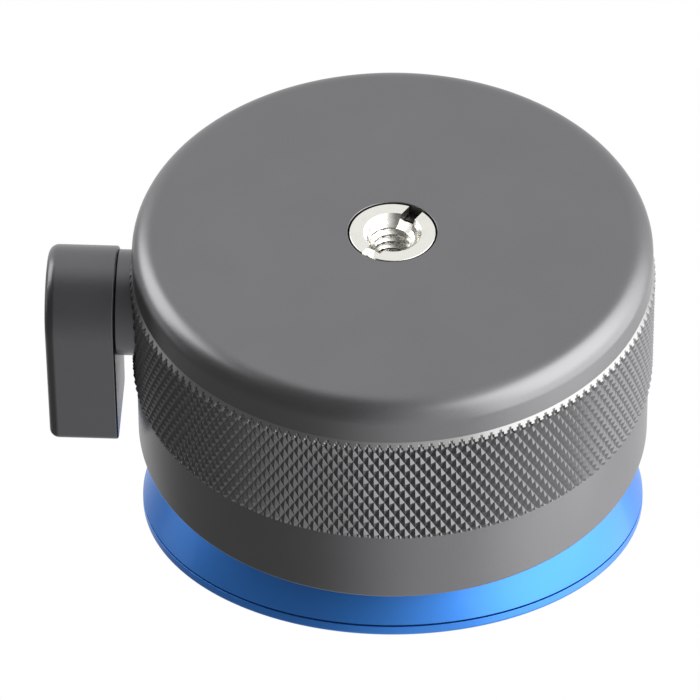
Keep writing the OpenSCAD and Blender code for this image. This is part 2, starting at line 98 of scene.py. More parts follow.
def grid_skin(points: Array, close_rows: bool = False, close_columns: bool = True) -> Skin:
    """Joins a grid of points into four-sided faces.

    Each face spans the grid points (i, j), (i, j + 1), (i + 1, j + 1) and (i + 1, j).

    Args:
        points: Grid of points, shaped rows x columns x 3.
        close_rows: Whether the last row joins the first.
        close_columns: Whether the last column joins the first.

    Returns:
        The surface.
    """
    rows, columns = points.shape[:2]
    index = np.arange(rows * columns).reshape(rows, columns)
    if close_rows:
        index = np.vstack([index, index[:1]])
    if close_columns:
        index = np.hstack([index, index[:, :1]])
    corners = [index[:-1, :-1], index[:-1, 1:], index[1:, 1:], index[1:, :-1]]
    faces = np.stack(corners, axis=-1).reshape(-1, 4)
    return Skin(points.reshape(-1, 3), faces)


def filleted(corners: Sequence[tuple[float, float, float]], steps: int = 6, loop: bool = True) -> Array:
    """Rounds the corners of a flat outline.

    An arc of the given radius replaces each corner. It starts and ends at the distance
    radius / tan(half the corner's angle) from the corner, and its points are spaced evenly by angle
    between the two directions in which the arc's centre sees its ends.

    Args:
        corners: One (x, y, radius) for each corner.
        steps: Parts that each arc is divided into.
        loop: Whether the outline closes. An open outline keeps its two ends sharp.

    Returns:
        The outline's points, one row each.
    """
    table = np.asarray(corners, float)
    at, radius = table[:, :2], np.maximum(table[:, 2], 1e-9)
    if not loop:
        radius[[0, -1]] = 1e-9
    back, ahead = np.roll(at, 1, axis=0) - at, np.roll(at, -1, axis=0) - at
    if not loop:
        back[0], ahead[-1] = -ahead[0], -back[-1]
    back /= np.linalg.norm(back, axis=1, keepdims=True)
    ahead /= np.linalg.norm(ahead, axis=1, keepdims=True)
    opening = np.arccos(np.clip((back * ahead).sum(1), -1, 1))
    straight = opening > math.pi - 1e-6
    opening = np.where(straight, math.pi / 2, opening)[:, None]
    middle = back + ahead
    middle[straight] = 1.0
    middle /= np.linalg.norm(middle, axis=1, keepdims=True)
    run, sweep = 1 / np.tan(opening / 2), math.pi - opening
    out = middle / np.sin(opening / 2)
    first, last = back * run - out, ahead * run - out
    share = np.linspace(0, 1, steps + 1)[None, :, None]
    sweep = sweep[:, :, None]
    arc = np.sin((1 - share) * sweep) * first[:, None] + np.sin(share * sweep) * last[:, None]
    points = at[:, None] + radius[:, None, None] * (out[:, None] + arc / np.sin(sweep))
    points[straight] = at[straight][:, None]
    points = points.reshape(-1, 2)
    apart = np.linalg.norm(points - np.roll(points, 1, axis=0), axis=1) > 1e-5
    if not loop:
        apart[0] = True
    return points[apart]


def rings_about_z(distance: Array, height: Array, around: Array) -> Array:
    """Puts rings of points about the Z axis: (distance cos a, distance sin a, height).

    Args:
        distance: Distance from the axis, a row for each ring, with one column or one for each angle.
        height: Height of each ring, as a column.
        around: The angles a.

    Returns:
        Grid of points, shaped rings x angles x 3.
    """
    x = distance * np.cos(around)
    y = distance * np.sin(around)
    return np.stack([x, y, np.broadcast_to(height, x.shape)], axis=2)


def even_turn(steps: int) -> Array:
    """Angles in even steps of a full turn."""
    return np.arange(steps) * TURN / steps


def revolved(profile: Array, steps: int = 192, loop: bool = True) -> Skin:
    """Turns a flat profile about the Z axis.

    A point at distance r and height z goes to (r cos a, r sin a, z), with a in even steps of a
    full turn. A closed profile gives a ring, and an open one starts and ends on the axis.

    Args:
        profile: Rows of (distance from the axis, height).
        steps: Parts of the full turn.
        loop: Whether the profile closes on itself.

    Returns:
        The surface.
    """
    return grid_skin(rings_about_z(profile[:, :1], profile[:, 1:], even_turn(steps)), close_rows=loop)


def turned(corners: Sequence[tuple[float, float, float]], steps: int = 192, arc: int = 6,
           loop: bool = True) -> Skin:
    """A turned body: `filleted` corners, revolved about Z.

    Args:
        corners: One (distance from the axis, height, radius of the rounding) for each corner.
        steps: Parts of the full turn.
        arc: Parts that each rounding is divided into.
        loop: Whether the profile closes on itself. An open one starts and ends on the axis.

    Returns:
        The surface.
    """
    return revolved(filleted(corners, arc, loop), steps, loop)


def block(low: Sequence[float], high: Sequence[float]) -> Skin:
    """A plain box.

    Args:
        low: Its lowest corner.
        high: Its highest corner.

    Returns:
        The surface.
    """
    pick = np.array([[0, 0, 0], [1, 0, 0], [1, 1, 0], [0, 1, 0],
                     [0, 0, 1], [1, 0, 1], [1, 1, 1], [0, 1, 1]])
    faces = np.array([[0, 3, 2, 1], [4, 5, 6, 7], [0, 1, 5, 4],
                      [1, 2, 6, 5], [2, 3, 7, 6], [3, 0, 4, 7]])
    return Skin(np.where(pick, high, low).astype(float), faces)


def turn_about(axis: str, degrees: float) -> Array:
    """The 3 x 3 matrix of a turn about the X, Y or Z axis."""
    return np.array(Matrix.Rotation(math.radians(degrees), 3, axis))


ALONG_X = turn_about("Y", 90)
UPRIGHT = np.eye(3)
# From the display's frame (base face up, camera on -Y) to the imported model's, which is the other way up
DISPLAY = turn_about("Z", HEADING) @ np.diag([-1.0, 1.0, -1.0])


# ---------------------------------------------------------------- node graphs


class Graph:
    """Lays out the nodes of one material.

    Attributes:
        material: The material that is being made.
        shader: Its principled shader.
    """

    def __init__(self, name: str) -> None:
        """Starts a material with a principled shader.

        Args:
            name: Name of the material.
        """
        self.material = bpy.data.materials.new(name)
        self.material.use_nodes = True
        self.tree = self.material.node_tree
        self.tree.nodes.clear()
        self.shader = self.node("ShaderNodeBsdfPrincipled")
        self.output = self.node("ShaderNodeOutputMaterial")
        self.tree.links.new(self.shader.outputs[0], self.output.inputs["Surface"])

    def node(self, kind: str, inputs: dict | None = None, **settings: object) -> bpy.types.Node:
        """Adds a node.

        Args:
            kind: Blender's name for the kind of node.
            inputs: Values or sockets for its inputs, by name or number.
            **settings: Attributes of the node.

        Returns:
            The node.
        """
        made = self.tree.nodes.new(kind)
        for name, value in settings.items():
            setattr(made, name, value)
        for key, value in (inputs or {}).items():
            self.put(made.inputs[key], value)
        return made

    def put(self, socket: Socket, value: object) -> None:
        """Links a socket, or sets it.

        Args:
            socket: The input.
            value: A socket to link from, or a plain value to set.
        """
        if isinstance(value, bpy.types.NodeSocket):
            self.tree.links.new(value, socket)
        else:
            socket.default_value = value

    def set(self, **sockets: object) -> None:
        """Sets or links the shader's sockets, with _ for each space in their names."""
        for name, value in sockets.items():
            self.put(self.shader.inputs[name.replace("_", " ")], value)

    def place(self, shift: Sequence[float] = (0, 0, 0), turn: Sequence[float] = (0, 0, 0)) -> Socket:
        """Object coordinates about an axis of the piece.

        Args:
            shift: A point of the axis in millimetres.
            turn: Turn of the axis in degrees about X, Y and Z.

        Returns:
            The coordinates, in metres.
        """
        read = self.node("ShaderNodeTexCoord").outputs["Object"]
        spot = self.node("ShaderNodeMapping", {"Vector": read}, vector_type="TEXTURE")
        spot.inputs["Location"].default_value = [x * MM for x in shift]
        spot.inputs["Rotation"].default_value = [math.radians(x) for x in turn]
        return spot.outputs[0]

    def math(self, kind: str, first: object, second: object = 0.0, third: object = 0.0) -> Socket:
        """The result of a Math node."""
        return self.node("ShaderNodeMath", {0: first, 1: second, 2: third}, operation=kind).outputs[0]

    def noise(self, at: Socket, size: float, detail: float = 2.0, rough: float = 0.5) -> Socket:
        """Noise from 0 to 1 whose spots are about `size` millimetres across."""
        inputs = {"Vector": at, "Scale": 1 / (size * MM), "Detail": detail, "Roughness": rough}
        return self.node("ShaderNodeTexNoise", inputs).outputs[0]

    def radius(self, at: Socket) -> Socket:
        """Distance of the point from the Z axis of `at`, in metres."""
        flat = self.node("ShaderNodeVectorMath", {0: at, 1: (1, 1, 0)}, operation="MULTIPLY")
        return self.node("ShaderNodeVectorMath", {0: flat.outputs[0]}, operation="LENGTH").outputs["Value"]

    def along(self, at: Socket, axis: str) -> Socket:
        """One coordinate of `at`, in metres."""
        return self.node("ShaderNodeSeparateXYZ", {0: at}).outputs[axis]

    def range(self, value: Socket, low: float, high: float, to_low: float, to_high: float) -> Socket:
        """`value` mapped from one range to another, and kept inside it."""
        spread = {"Value": value, 1: low, 2: high, 3: to_low, 4: to_high}
        return self.node("ShaderNodeMapRange", spread, clamp=True).outputs[0]

    def blend(self, share: object, first: object, second: object) -> Socket:
        """Two colours mixed.

        Args:
            share: Share of the second colour.
            first: First colour, plain or as a socket.
            second: Second colour, plain or as a socket.

        Returns:
            The mixed colour.
        """
        made = self.node("ShaderNodeMix", data_type="RGBA")
        factor, colour_a, colour_b, mixed = 0, 6, 7, 2
        for number, value in ((factor, share), (colour_a, first), (colour_b, second)):
            if isinstance(value, tuple):
                value = (*value, 1.0)
            self.put(made.inputs[number], value)
        return made.outputs[mixed]

    def clear(self) -> Socket:
        """A shader that lets all light through."""
        return self.node("ShaderNodeBsdfTransparent").outputs[0]

    def mix_surface(self, share: Socket, first: Socket, second: Socket) -> None:
        """Makes the surface a mix of two shaders, the second one by `share`."""
        mixed = self.node("ShaderNodeMixShader", {0: share, 1: first, 2: second})
        self.tree.links.new(mixed.outputs[0], self.output.inputs["Surface"])

    def bump(self, height: Socket, depth: float, strength: float = 1.0) -> Socket:
        """A normal that follows `height` times `depth` millimetres."""
        inputs = {"Height": height, "Distance": depth * MM, "Strength": strength}
        return self.node("ShaderNodeBump", inputs).outputs[0]


# ---------------------------------------------------------------- finishes


def tinted(colour: Colour, level: float) -> Colour:
    """A colour times a level."""
    return tuple(c * level for c in colour)


@dataclass(frozen=True)
class Seat:
    """Where the axis of a finish's pattern lies: a point in millimetres and a turn in degrees."""

    shift: tuple[float, float, float] = (0.0, 0.0, 0.0)
    turn: tuple[float, float, float] = (0.0, 0.0, 0.0)


@dataclass(frozen=True)
class Cone:
    """A narrow cone about Z.

    Attributes:
        distance: Distance from Z at its foot, in millimetres.
        foot: Height of its foot, in millimetres.
        slope: Growth of the distance for each millimetre of height.
        reach: How far over its foot it goes at most, in millimetres.
    """

    distance: float
    foot: float
    slope: float
    reach: float


# The turned shoulder between the base band and the knurl
SHOULDER = Cone(36.6, 6.25, 0.36, 1.3)


@dataclass(frozen=True)
class Blasted:
    """Bead-blasted and anodised aluminium: fine grain, slightly uneven gloss.

    Attributes:
        name: Name of the material.
        colour: Colour of the dyed layer.
        roughness: Middle value of the roughness.
        grain: Size of the blasting marks in millimetres.
        depth: Their depth in millimetres.
        coat: Share of clear gloss over the dye.
        metallic: How far the surface shines as bare metal.
        shoulder: The turned shoulder, which is given a lighter colour as a painted highlight.
        shoulder_edge: Distances from the shoulder's cone in millimetres between which it fades out.
        shoulder_highlight: Lighter colour painted on that shoulder as a painted highlight.
    """

    name: str
    colour: Colour
    roughness: float
    grain: float = 0.16
    depth: float = 0.0032
    coat: float = 0.0
    metallic: float = 1.0
    shoulder: Cone | None = None
    shoulder_edge: tuple[float, float] = (0.012, 0.025)
    # lighter colour on the turned shoulder: a painted highlight
    shoulder_highlight: Colour = (0.34, 0.34, 0.336)

    def on_shoulder(self, g: Graph, at: Socket) -> Socket:
        """Marks the turned shoulder, where the painted highlight goes, by how far a point is from the
        shoulder's cone.

        Args:
            g: Nodes of the material.
            at: Object coordinates.

        Returns:
            1 on the shoulder and 0 elsewhere.
        """
        cone = self.shoulder
        height = g.along(at, "Z")
        rise = g.math("MULTIPLY", g.math("SUBTRACT", height, cone.foot * MM), cone.slope)
        out = g.math("SUBTRACT", g.radius(at), cone.distance * MM)
        off = g.math("ABSOLUTE", g.math("SUBTRACT", out, rise))
        near = g.range(off, self.shoulder_edge[0] * MM, self.shoulder_edge[1] * MM, 1, 0)
        low = g.math("LESS_THAN", height, (cone.foot + cone.reach) * MM)
        return g.math("MULTIPLY", near, low)

    def material(self) -> bpy.types.Material:
        """Makes the material.

        Returns:
            The material.
        """
        g = Graph(self.name)
        at = g.place()
        cloud = g.noise(at, 14, 3)
        speck = g.noise(at, self.grain * 2.2, 2)
        grain = g.noise(at, self.grain, 1)
        deep, pale = tinted(self.colour, 0.97), tinted(self.colour, 1.03)
        colour = g.blend(g.range(cloud, 0.3, 0.7, 0, 1), deep, pale)
        colour = g.blend(g.range(speck, 0.35, 0.65, 0, 0.3), colour, tinted(self.colour, 1.12))
        # Painted highlight: the turned shoulder gets a lighter colour in place of the bright reflection
        # that it shows
        if self.shoulder:
            colour = g.blend(self.on_shoulder(g, at), colour, self.shoulder_highlight)
        rough = g.range(cloud, 0.25, 0.75, self.roughness - 0.02, self.roughness + 0.02)
        rough = g.math("ADD", rough, g.range(speck, 0.3, 0.7, -0.02, 0.02))
        normal = g.bump(grain, self.depth)
        g.set(Base_Color=colour, Roughness=rough, Metallic=self.metallic, Normal=normal)
        if self.coat:
            g.set(Coat_Weight=self.coat, Coat_Roughness=0.14)
        return g.material


@dataclass(frozen=True)
class Machined:
    """Bare or plated metal with fine turning marks round one axis.

    Attributes:
        name: Name of the material.
        colour: Colour of the metal.
        roughness: Middle value of the roughness.
        pitch: Distance between turning marks in millimetres.
        depth: Their depth in millimetres.
        seat: Where the lathe's axis was.
        stain: Colour of the slight stain.
        stained: Share of the surface with a stain.
    """

    name: str
    colour: Colour
    roughness: float
    pitch: float = 0.11
    depth: float = 0.0012
    seat: Seat = Seat()
    stain: Colour = (0.20, 0.17, 0.13)
    stained: float = 0.12

    def material(self) -> bpy.types.Material:
        """Makes the material.

        Returns:
            The material.
        """
        g = Graph(self.name)
        at = g.place(self.seat.shift, self.seat.turn)
        wave = g.math("SINE", g.math("MULTIPLY", g.radius(at), TURN / (self.pitch * MM)))
        rows = g.math("SINE", g.math("MULTIPLY", g.along(at, "Z"), TURN / (self.pitch * MM)))
        marks = g.math("ADD", g.math("ADD", wave, rows), g.math("MULTIPLY", g.noise(at, 0.3, 3), 1.6))
        spots = g.range(g.noise(at, 1.8, 4, 0.6), 0.52, 0.78, 0, self.stained)
        colour = g.blend(spots, self.colour, self.stain)
        rough = g.range(g.noise(at, 0.9, 3), 0.3, 0.7, self.roughness - 0.05, self.roughness + 0.07)
        g.set(Base_Color=colour, Roughness=rough, Metallic=1.0, Normal=g.bump(marks, self.depth, 0.6))
        return g.material


@dataclass(frozen=True)
class Drawn:
    """Wire and sheet metal: streaks along one axis, with a thin film of oil.

    Attributes:
        name: Name of the material.
        colour: Colour of the metal.
        roughness: Middle value of the roughness.
        stretch: How much longer than wide the streaks are.
    """

    name: str
    colour: Colour
    roughness: float
    stretch: float = 14.0

    def material(self) -> bpy.types.Material:
        """Makes the material.

        Returns:
            The material.
        """
        g = Graph(self.name)
        at = g.place()
        squeeze = {0: at, 1: (1.0, 1.0, 1 / self.stretch)}
        thin = g.node("ShaderNodeVectorMath", squeeze, operation="MULTIPLY")
        streak = g.noise(thin.outputs[0], 0.16, 3)
        film = g.noise(at, 3.0, 3)
        colour = g.blend(g.range(film, 0.35, 0.7, 0, 0.5), self.colour, tinted(self.colour, 0.72))
        rough = g.range(film, 0.3, 0.7, self.roughness + 0.06, self.roughness - 0.05)
        g.set(Base_Color=colour, Roughness=rough, Metallic=1.0, Normal=g.bump(streak, 0.002, 0.7))
        return g.material


@dataclass(frozen=True)
class Moulded:
    """Moulded plastic or rubber: fine matt skin with a few lighter scuffs.

    Attributes:
        name: Name of the material.
        colour: Colour of the body.
        scuff: Colour of the scuffs.
        roughness: Middle value of the roughness.
        grain: Size of the skin's grain in millimetres.
        depth: Depth of the grain in millimetres.
        sheen: Share of soft sheen, as rubber has.
        under: Share of light that travels inside, as in pale plastic.
    """

    name: str
    colour: Colour
    scuff: Colour
    roughness: float
    grain: float = 0.12
    depth: float = 0.006
    sheen: float = 0.0
    under: float = 0.0

    def material(self) -> bpy.types.Material:
        """Makes the material.

        Returns:
            The material.
        """
        g = Graph(self.name)
        at = g.place()
        film = g.range(g.noise(at, 5, 4, 0.6), 0.45, 0.75, 0, 0.35)
        colour = g.blend(film, self.colour, self.scuff)
        rough = g.range(g.noise(at, 2, 3), 0.3, 0.7, self.roughness - 0.06, self.roughness + 0.06)
        normal = g.bump(g.noise(at, self.grain, 2), self.depth, 0.8)
        g.set(Base_Color=colour, Roughness=rough, Normal=normal)
        if self.sheen:
            g.set(Sheen_Weight=self.sheen, Sheen_Roughness=0.45)
        if self.under:
            g.set(Subsurface_Weight=self.under, Subsurface_Scale=2 * MM, Subsurface_Radius=(1.0, 0.85, 0.6))
        return g.material


@dataclass(frozen=True)
class Clear:
    """Clear plastic, liquid or air: light passes through it.

    Attributes:
        name: Name of the material.
        colour: Tint of the light that passes.
        ior: Index of refraction.
        roughness: How far it blurs.
        ripple: Height of its slight unevenness in millimetres.
    """

    name: str
    colour: Colour
    ior: float
    roughness: float = 0.02
    ripple: float = 0.002

    def material(self) -> bpy.types.Material:
        """Makes the material.

        Returns:
            The material.
        """
        g = Graph(self.name)
        at = g.place()
        cloud = g.range(g.noise(at, 2.0, 2), 0.3, 0.7, 0, 0.25)
        tint = g.blend(cloud, self.colour, tinted(self.colour, 0.9))
        normal = g.bump(g.noise(at, 1.2, 1), self.ripple, 0.5)
        g.set(Base_Color=tint, Roughness=self.roughness, Normal=normal)
        g.set(IOR=self.ior, Transmission_Weight=1.0)
        return g.material


SHAFT_AXIS = Seat((0, 0, SHAFT_Z), (0, 90, 0))
PLATFORM_AXIS = Seat((0, 0, BALL_Z), (LEAN, 0, HEADING))


class Finish(Enum):
    """The finishes of the levelling base, one for each material slot of the record and its variants; some
    variants are darker copies of a finish that carry painted shade.
    """

    GREY = Blasted("grey_anodised", (0.183, 0.183, 0.189), 0.35, depth=0.002)
    # darker copy of the grey anodising: painted shade on the grip, with a painted highlight on its shoulder
    GRIP = Blasted("grey_anodised_grip_shaded", (0.148, 0.148, 0.152), 0.33, depth=0.002,
                   shoulder=SHOULDER)
    # darker copy of the grey anodising: painted shade on the lever
    LEVER = Blasted("grey_anodised_lever_shaded", (0.135, 0.136, 0.142), 0.33, depth=0.002)
    BLUE = Blasted("blue_anodised", (0.035, 0.19, 0.60), 0.42, grain=0.12, depth=0.0014, coat=0.2,
                   metallic=0.8)
    BRIGHT = Machined("bright_steel", (0.80, 0.79, 0.74), 0.26)
    STUD = Machined("bright_steel_stud", (0.72, 0.71, 0.68), 0.24, seat=PLATFORM_AXIS)
    PLAIN = Machined("plain_steel", (0.55, 0.55, 0.54), 0.33)
    # near-black copy of steel: painted shade for the thread bush, which lies in shadow behind the insert's
    # slot
    BUSH = Machined("steel_bush_shaded", (0.07, 0.07, 0.073), 0.34)
    SHAFT = Machined("dark_steel", (0.10, 0.10, 0.105), 0.32, seat=SHAFT_AXIS)
    SCREW = Machined("plain_steel_screw", (0.30, 0.30, 0.30), 0.30, seat=SHAFT_AXIS)
    SPRING = Drawn("spring_steel", (0.50, 0.50, 0.49), 0.28)
    BRONZE = Machined("bronze", (0.56, 0.36, 0.16), 0.34, seat=SHAFT_AXIS,
                      stain=(0.16, 0.09, 0.04), stained=0.3)
    BRASS = Machined("bronze_level", (0.62, 0.47, 0.22), 0.24, seat=PLATFORM_AXIS,
                     stain=(0.22, 0.15, 0.05), stained=0.2)
    SHOE = Machined("plain_aluminium", (0.62, 0.62, 0.63), 0.30, pitch=0.16, depth=0.0022)
    SLIP = Moulded("slip_plastic", (0.66, 0.63, 0.55), (0.40, 0.37, 0.31), 0.42, under=0.15)
    SEAL = Moulded("seal_rubber", (0.012, 0.012, 0.013), (0.05, 0.05, 0.05), 0.55, sheen=0.1)
    PAD = Moulded("pad_rubber", (0.020, 0.020, 0.021), (0.075, 0.073, 0.07), 0.74, grain=0.2, depth=0.018,
                  sheen=0.25)
    LIQUID = Clear("level_fluid", (0.66, 0.92, 0.16), 1.33)
    AIR = Clear("level_bubble", (0.97, 1.0, 0.93), 1.02)
    WINDOW = Clear("level_window", (0.97, 0.98, 0.97), 1.49)
    MARK = Moulded("level_mark", (0.015, 0.015, 0.016), (0.04, 0.04, 0.04), 0.5)


class Palette:
    """Makes each finish once, when a piece first needs it."""

    made: dict[Finish, bpy.types.Material] = {}

    @classmethod
    def take(cls, finish: Finish) -> bpy.types.Material:
        """Gives the material of a finish.

        Args:
            finish: The finish.

        Returns:
            Its material.
        """
        if finish not in cls.made:
            cls.made[finish] = finish.value.material()
        return cls.made[finish]


# ---------------------------------------------------------------- pieces


# Points closer than this, in metres, become one: seams and poles
SAME_POINT = 2e-7


def mesh_object(name: str, skin: Skin) -> Piece:
    """Puts a surface into a mesh object at the origin, with its seams and poles closed.

    Args:
        name: Name of the object.
        skin: The surface, in millimetres.

    Returns:
        The object, linked to the scene.
    """
    mesh = bpy.data.meshes.new(name)
    mesh.from_pydata((skin.points * MM).tolist(), [], skin.faces.tolist())
    work = bmesh.new()
    work.from_mesh(mesh)
    bmesh.ops.remove_doubles(work, verts=work.verts, dist=SAME_POINT)
    bmesh.ops.recalc_face_normals(work, faces=work.faces)
    work.to_mesh(mesh)
    work.free()
    mesh.validate()
    made = bpy.data.objects.new(name, mesh)
    bpy.context.scene.collection.objects.link(made)
    return made


def cut(piece: Piece, cutter: Skin, join: bool = False) -> None:
    """Takes a solid away from a piece, or keeps only what both hold.

    Args:
        piece: The piece, whose mesh is replaced.
        cutter: The solid's surface, in millimetres.
        join: Whether to keep what both hold.
    """
    tool = mesh_object("cutter", cutter)
    change = piece.modifiers.new("cut", "BOOLEAN")
    change.operation = "INTERSECT" if join else "DIFFERENCE"
    change.object = tool
    change.solver = "EXACT"
    bpy.context.view_layer.update()
    seen = piece.evaluated_get(bpy.context.evaluated_depsgraph_get())
    fresh = bpy.data.meshes.new_from_object(seen)
    piece.modifiers.clear()
    piece.data = fresh
    bpy.data.objects.remove(tool)


def shade(piece: Piece, sharp: float = 28.0, flat: bool = False) -> None:
    """Smooths a piece, with its normals weighed by face so that flat faces stay flat.

    Args:
        piece: The piece.
        sharp: Angle in degrees from which an edge stays sharp.
        flat: Whether to leave each face flat instead.
    """
    mesh = piece.data
    if flat:
        mesh.shade_flat()
        return
    mesh.shade_smooth()
    mesh.set_sharp_from_angle(angle=math.radians(sharp))
    weigh = piece.modifiers.new("weigh", "WEIGHTED_NORMAL")
    weigh.keep_sharp = True
    weigh.mode = "FACE_AREA_WITH_ANGLE"


@dataclass
class SubAssembly:
    """What moves together.

    Attributes:
        body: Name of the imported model's body.
        made: The pieces, in the order of making.
    """

    body: str = "housing"
    made: list[Piece] = field(default_factory=list)

    def add(self, name: str, skin: Skin, finish: Finish, slot: str, stands_for: Iterable[str] = (),
            sharp: float = 28.0) -> Piece:
        """Makes a piece, dresses it and lets it ride on the body.

        Args:
            name: Name of the piece.
            skin: Its surface, in millimetres.
            finish: Its finish.
            slot: The record's material slot.
            stands_for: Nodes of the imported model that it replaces.
            sharp: Angle in degrees from which an edge stays sharp.

        Returns:
            The piece.
        """
        piece = mesh_object(name, skin)
        shade(piece, sharp)
        return self.settle(piece, finish, slot, stands_for)

    def settle(self, piece: Piece, finish: Finish, slot: str, stands_for: Iterable[str] = ()) -> Piece:
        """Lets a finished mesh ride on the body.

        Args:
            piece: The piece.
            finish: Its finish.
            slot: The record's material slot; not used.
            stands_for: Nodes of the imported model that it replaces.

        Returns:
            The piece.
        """
        piece.data.materials.clear()
        piece.data.materials.append(Palette.take(finish))
        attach(piece, self.body)
        nodes = list(stands_for)
        if nodes:
            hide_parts(*nodes)
        self.made.append(piece)
        return piece

    def dress(self, node: str, finish: Finish) -> None:
        """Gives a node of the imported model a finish, and leaves its shape alone.

        Args:
            node: Name of the node.
            finish: The finish.
        """
        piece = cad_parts[node]
        if not piece.material_slots:
            piece.data.materials.append(None)
        for place in piece.material_slots:
            place.material = Palette.take(finish)
        self.made.append(piece)

    def report(self) -> None:
        """Writes each piece, its body and its number of faces to the log."""
        for piece in self.made:
            LOG.info("%s: %s, %d faces", self.body, piece.name, len(piece.data.polygons))


# ---------------------------------------------------------------- housing


@dataclass
class Housing(SubAssembly):
    """The anodised cup, its knurled grip and what is fixed in it."""

    body: str = "housing"
    height: float = 36.1
    base_band_r: float = SHOULDER.distance
    mouth_band_r: float = 36.4
    base_round: float = 3.3
    mouth_round: float = 0.5
    band_edge: float = 0.01
    grip_r: float = 37.0
    grip_low: float = SHOULDER.foot
    grip_high: float = 24.3
    grip_end_chamfer: float = 0.2
    grip_lap: float = 0.005
    grip_sink: float = 0.05
    ring_t: float = 0.9
    kept_t: float = 0.6
    limit_over: float = 0.05
    groove_depth: float = 0.37
    teeth: int = 162
    first_row: float = 6.55
    half_rows: float = 1.225
    knurl_phase: float = 0.45
    parts: int = 3
    tip_flat: float = 0.03
    floor: float = 9.2
    floor_round: float = 0.6
    cavity_r: float = 27.0
    cavity_top: float = 29.0
    seat_bore_r: float = 22.9
    bore_edge: float = 0.1
    pocket_r: float = 28.0
    pocket_z: float = 31.0
    pocket_edge: float = 0.2
    land_r: float = 33.0
    land_z: float = SEAT_TOP_Z
    land_edge: float = 0.25
    counterbore_r: float = 6.3
    counterbore_t: float = 1.6
    counterbore_edge: float = 0.12
    bush_r: float = 7.5
    shaft_z: float = SHAFT_Z
    neck_hole_r: float = 7.72
    neck_hole_from: float = 20.0
    neck_hole_to: float = 45.0
    seal_x: float = 34.9
    seal_r: float = 8.1
    seal_wire_r: float = 0.55
    seal_half_w: float = 0.5
    steps: int = 288

    def shell(self) -> Skin:
        """The cup: one closed profile with rounded edges, turned about Z.

        Returns:
            The surface, in millimetres.
        """
        under = self.mouth_band_r - self.grip_sink
        foot = self.grip_low - self.grip_lap
        head = self.grip_high + self.grip_lap
        return turned([
            (self.counterbore_r, 0, self.counterbore_edge), (self.base_band_r, 0, self.base_round),
            (self.base_band_r, foot, self.band_edge), (under, foot, 0),
            (under, head, 0), (self.mouth_band_r, head, self.band_edge),
            (self.mouth_band_r, self.height, self.mouth_round), (self.land_r, self.height, self.land_edge),
            (self.land_r, self.land_z, self.pocket_edge), (self.pocket_r, self.land_z, self.pocket_edge),
            (self.pocket_r, self.pocket_z, 0), (self.seat_bore_r, self.pocket_z, self.bore_edge),
            (self.seat_bore_r, self.cavity_top, 0), (self.cavity_r, self.cavity_top, 0),
            (self.cavity_r, self.floor, self.floor_round), (self.bush_r, self.floor, 0),
            (self.bush_r, self.counterbore_t, 0), (self.counterbore_r, self.counterbore_t, 0)
        ], self.steps, arc=10)

    def knurl(self) -> Skin:
        """The grip's diamonds on a ring that is a little longer than the grip.

        The height over the groove bottom is the smaller of two triangle waves, one for each family
        of grooves. The waves run along (turn / tooth pitch) plus and minus (height / row pitch), are
        0 in a groove and 1 halfway between two, and are cut off a little below 1, so that each
        four-sided tooth has a small flat on top. The row at `first_row` is turned away: under the
        zigzag of the first full row the surface is the shoulder's cone, distance + slope * (height -
        foot), as far as the tips' radius.

        Returns:
            A closed ring, in millimetres.
        """
        columns = self.teeth * 2 * self.parts
        first = math.floor((self.grip_low - self.first_row) / self.half_rows) - 1
        last = math.ceil((self.grip_high - self.first_row) / self.half_rows) + 1
        up = np.linspace(first, last, (last - first) * self.parts + 1)[:, None]
        across = np.arange(columns) / self.parts
        one = (across + up) / 2
        two = (across - up) / 2
        wave = np.minimum(np.abs(one % 1 - 0.5), np.abs(two % 1 - 0.5)) * 2
        high = np.minimum(wave, 1 - self.tip_flat) / (1 - self.tip_flat)
        level = self.first_row + self.half_rows * up
        tooth = self.grip_r - self.groove_depth * (1 - high)
        cone = SHOULDER.distance + SHOULDER.slope * (level - SHOULDER.foot)
        zigzag = np.abs(across % 2 - 1)
        half_step = 0.5 / self.parts
        distance = np.where(up - zigzag > half_step, tooth, np.minimum(cone, self.grip_r))
        around = even_turn(columns) + math.radians(self.knurl_phase)
        face = rings_about_z(distance, level, around)
        inner = self.grip_r - self.groove_depth - self.ring_t
        ends = rings_about_z(np.full((2, 1), inner), level[[0, -1]], around)
        skin = grid_skin(np.concatenate([ends[:1], face, ends[1:]]), close_rows=True)
        return self.creased(skin)

    @staticmethod
    def creased(skin: Skin) -> Skin:
        """Starts each face so that it splits along the diagonal that lies deeper.

        Args:
            skin: The surface.

        Returns:
            The surface, its faces started at another corner where that is needed.
        """
        quad = skin.points[skin.faces]
        reach = np.hypot(quad[:, :, 0], quad[:, :, 1])
        turn = (reach[:, 0] + reach[:, 2]) > (reach[:, 1] + reach[:, 3])
        skin.faces[turn] = np.roll(skin.faces[turn], 1, axis=1)
        return skin

    def grip_limits(self) -> Skin:
        """The ring that the diamonds are kept inside.

        Returns:
            A closed ring with a small chamfer at the mouth's end, in millimetres.
        """
        out, small = self.grip_r + self.limit_over, self.grip_end_chamfer
        inside = self.grip_r - self.groove_depth - self.kept_t
        corners = [(out, self.grip_low), (out, self.grip_high - small - self.limit_over),
                   (self.grip_r - small, self.grip_high), (inside, self.grip_high), (inside, self.grip_low)]
        return revolved(np.array(corners), self.steps)

    def neck_hole(self) -> Skin:
        """The round cutter of the cam shaft's hole in the wall.

        Returns:
            The surface, in millimetres.
        """
        near, far = self.neck_hole_from, self.neck_hole_to
        rod = turned([(0, near, 0), (self.neck_hole_r, near, 0), (self.neck_hole_r, far, 0), (0, far, 0)],
                     steps=96, loop=False)
        return rod.placed(ALONG_X, (0, 0, self.shaft_z))

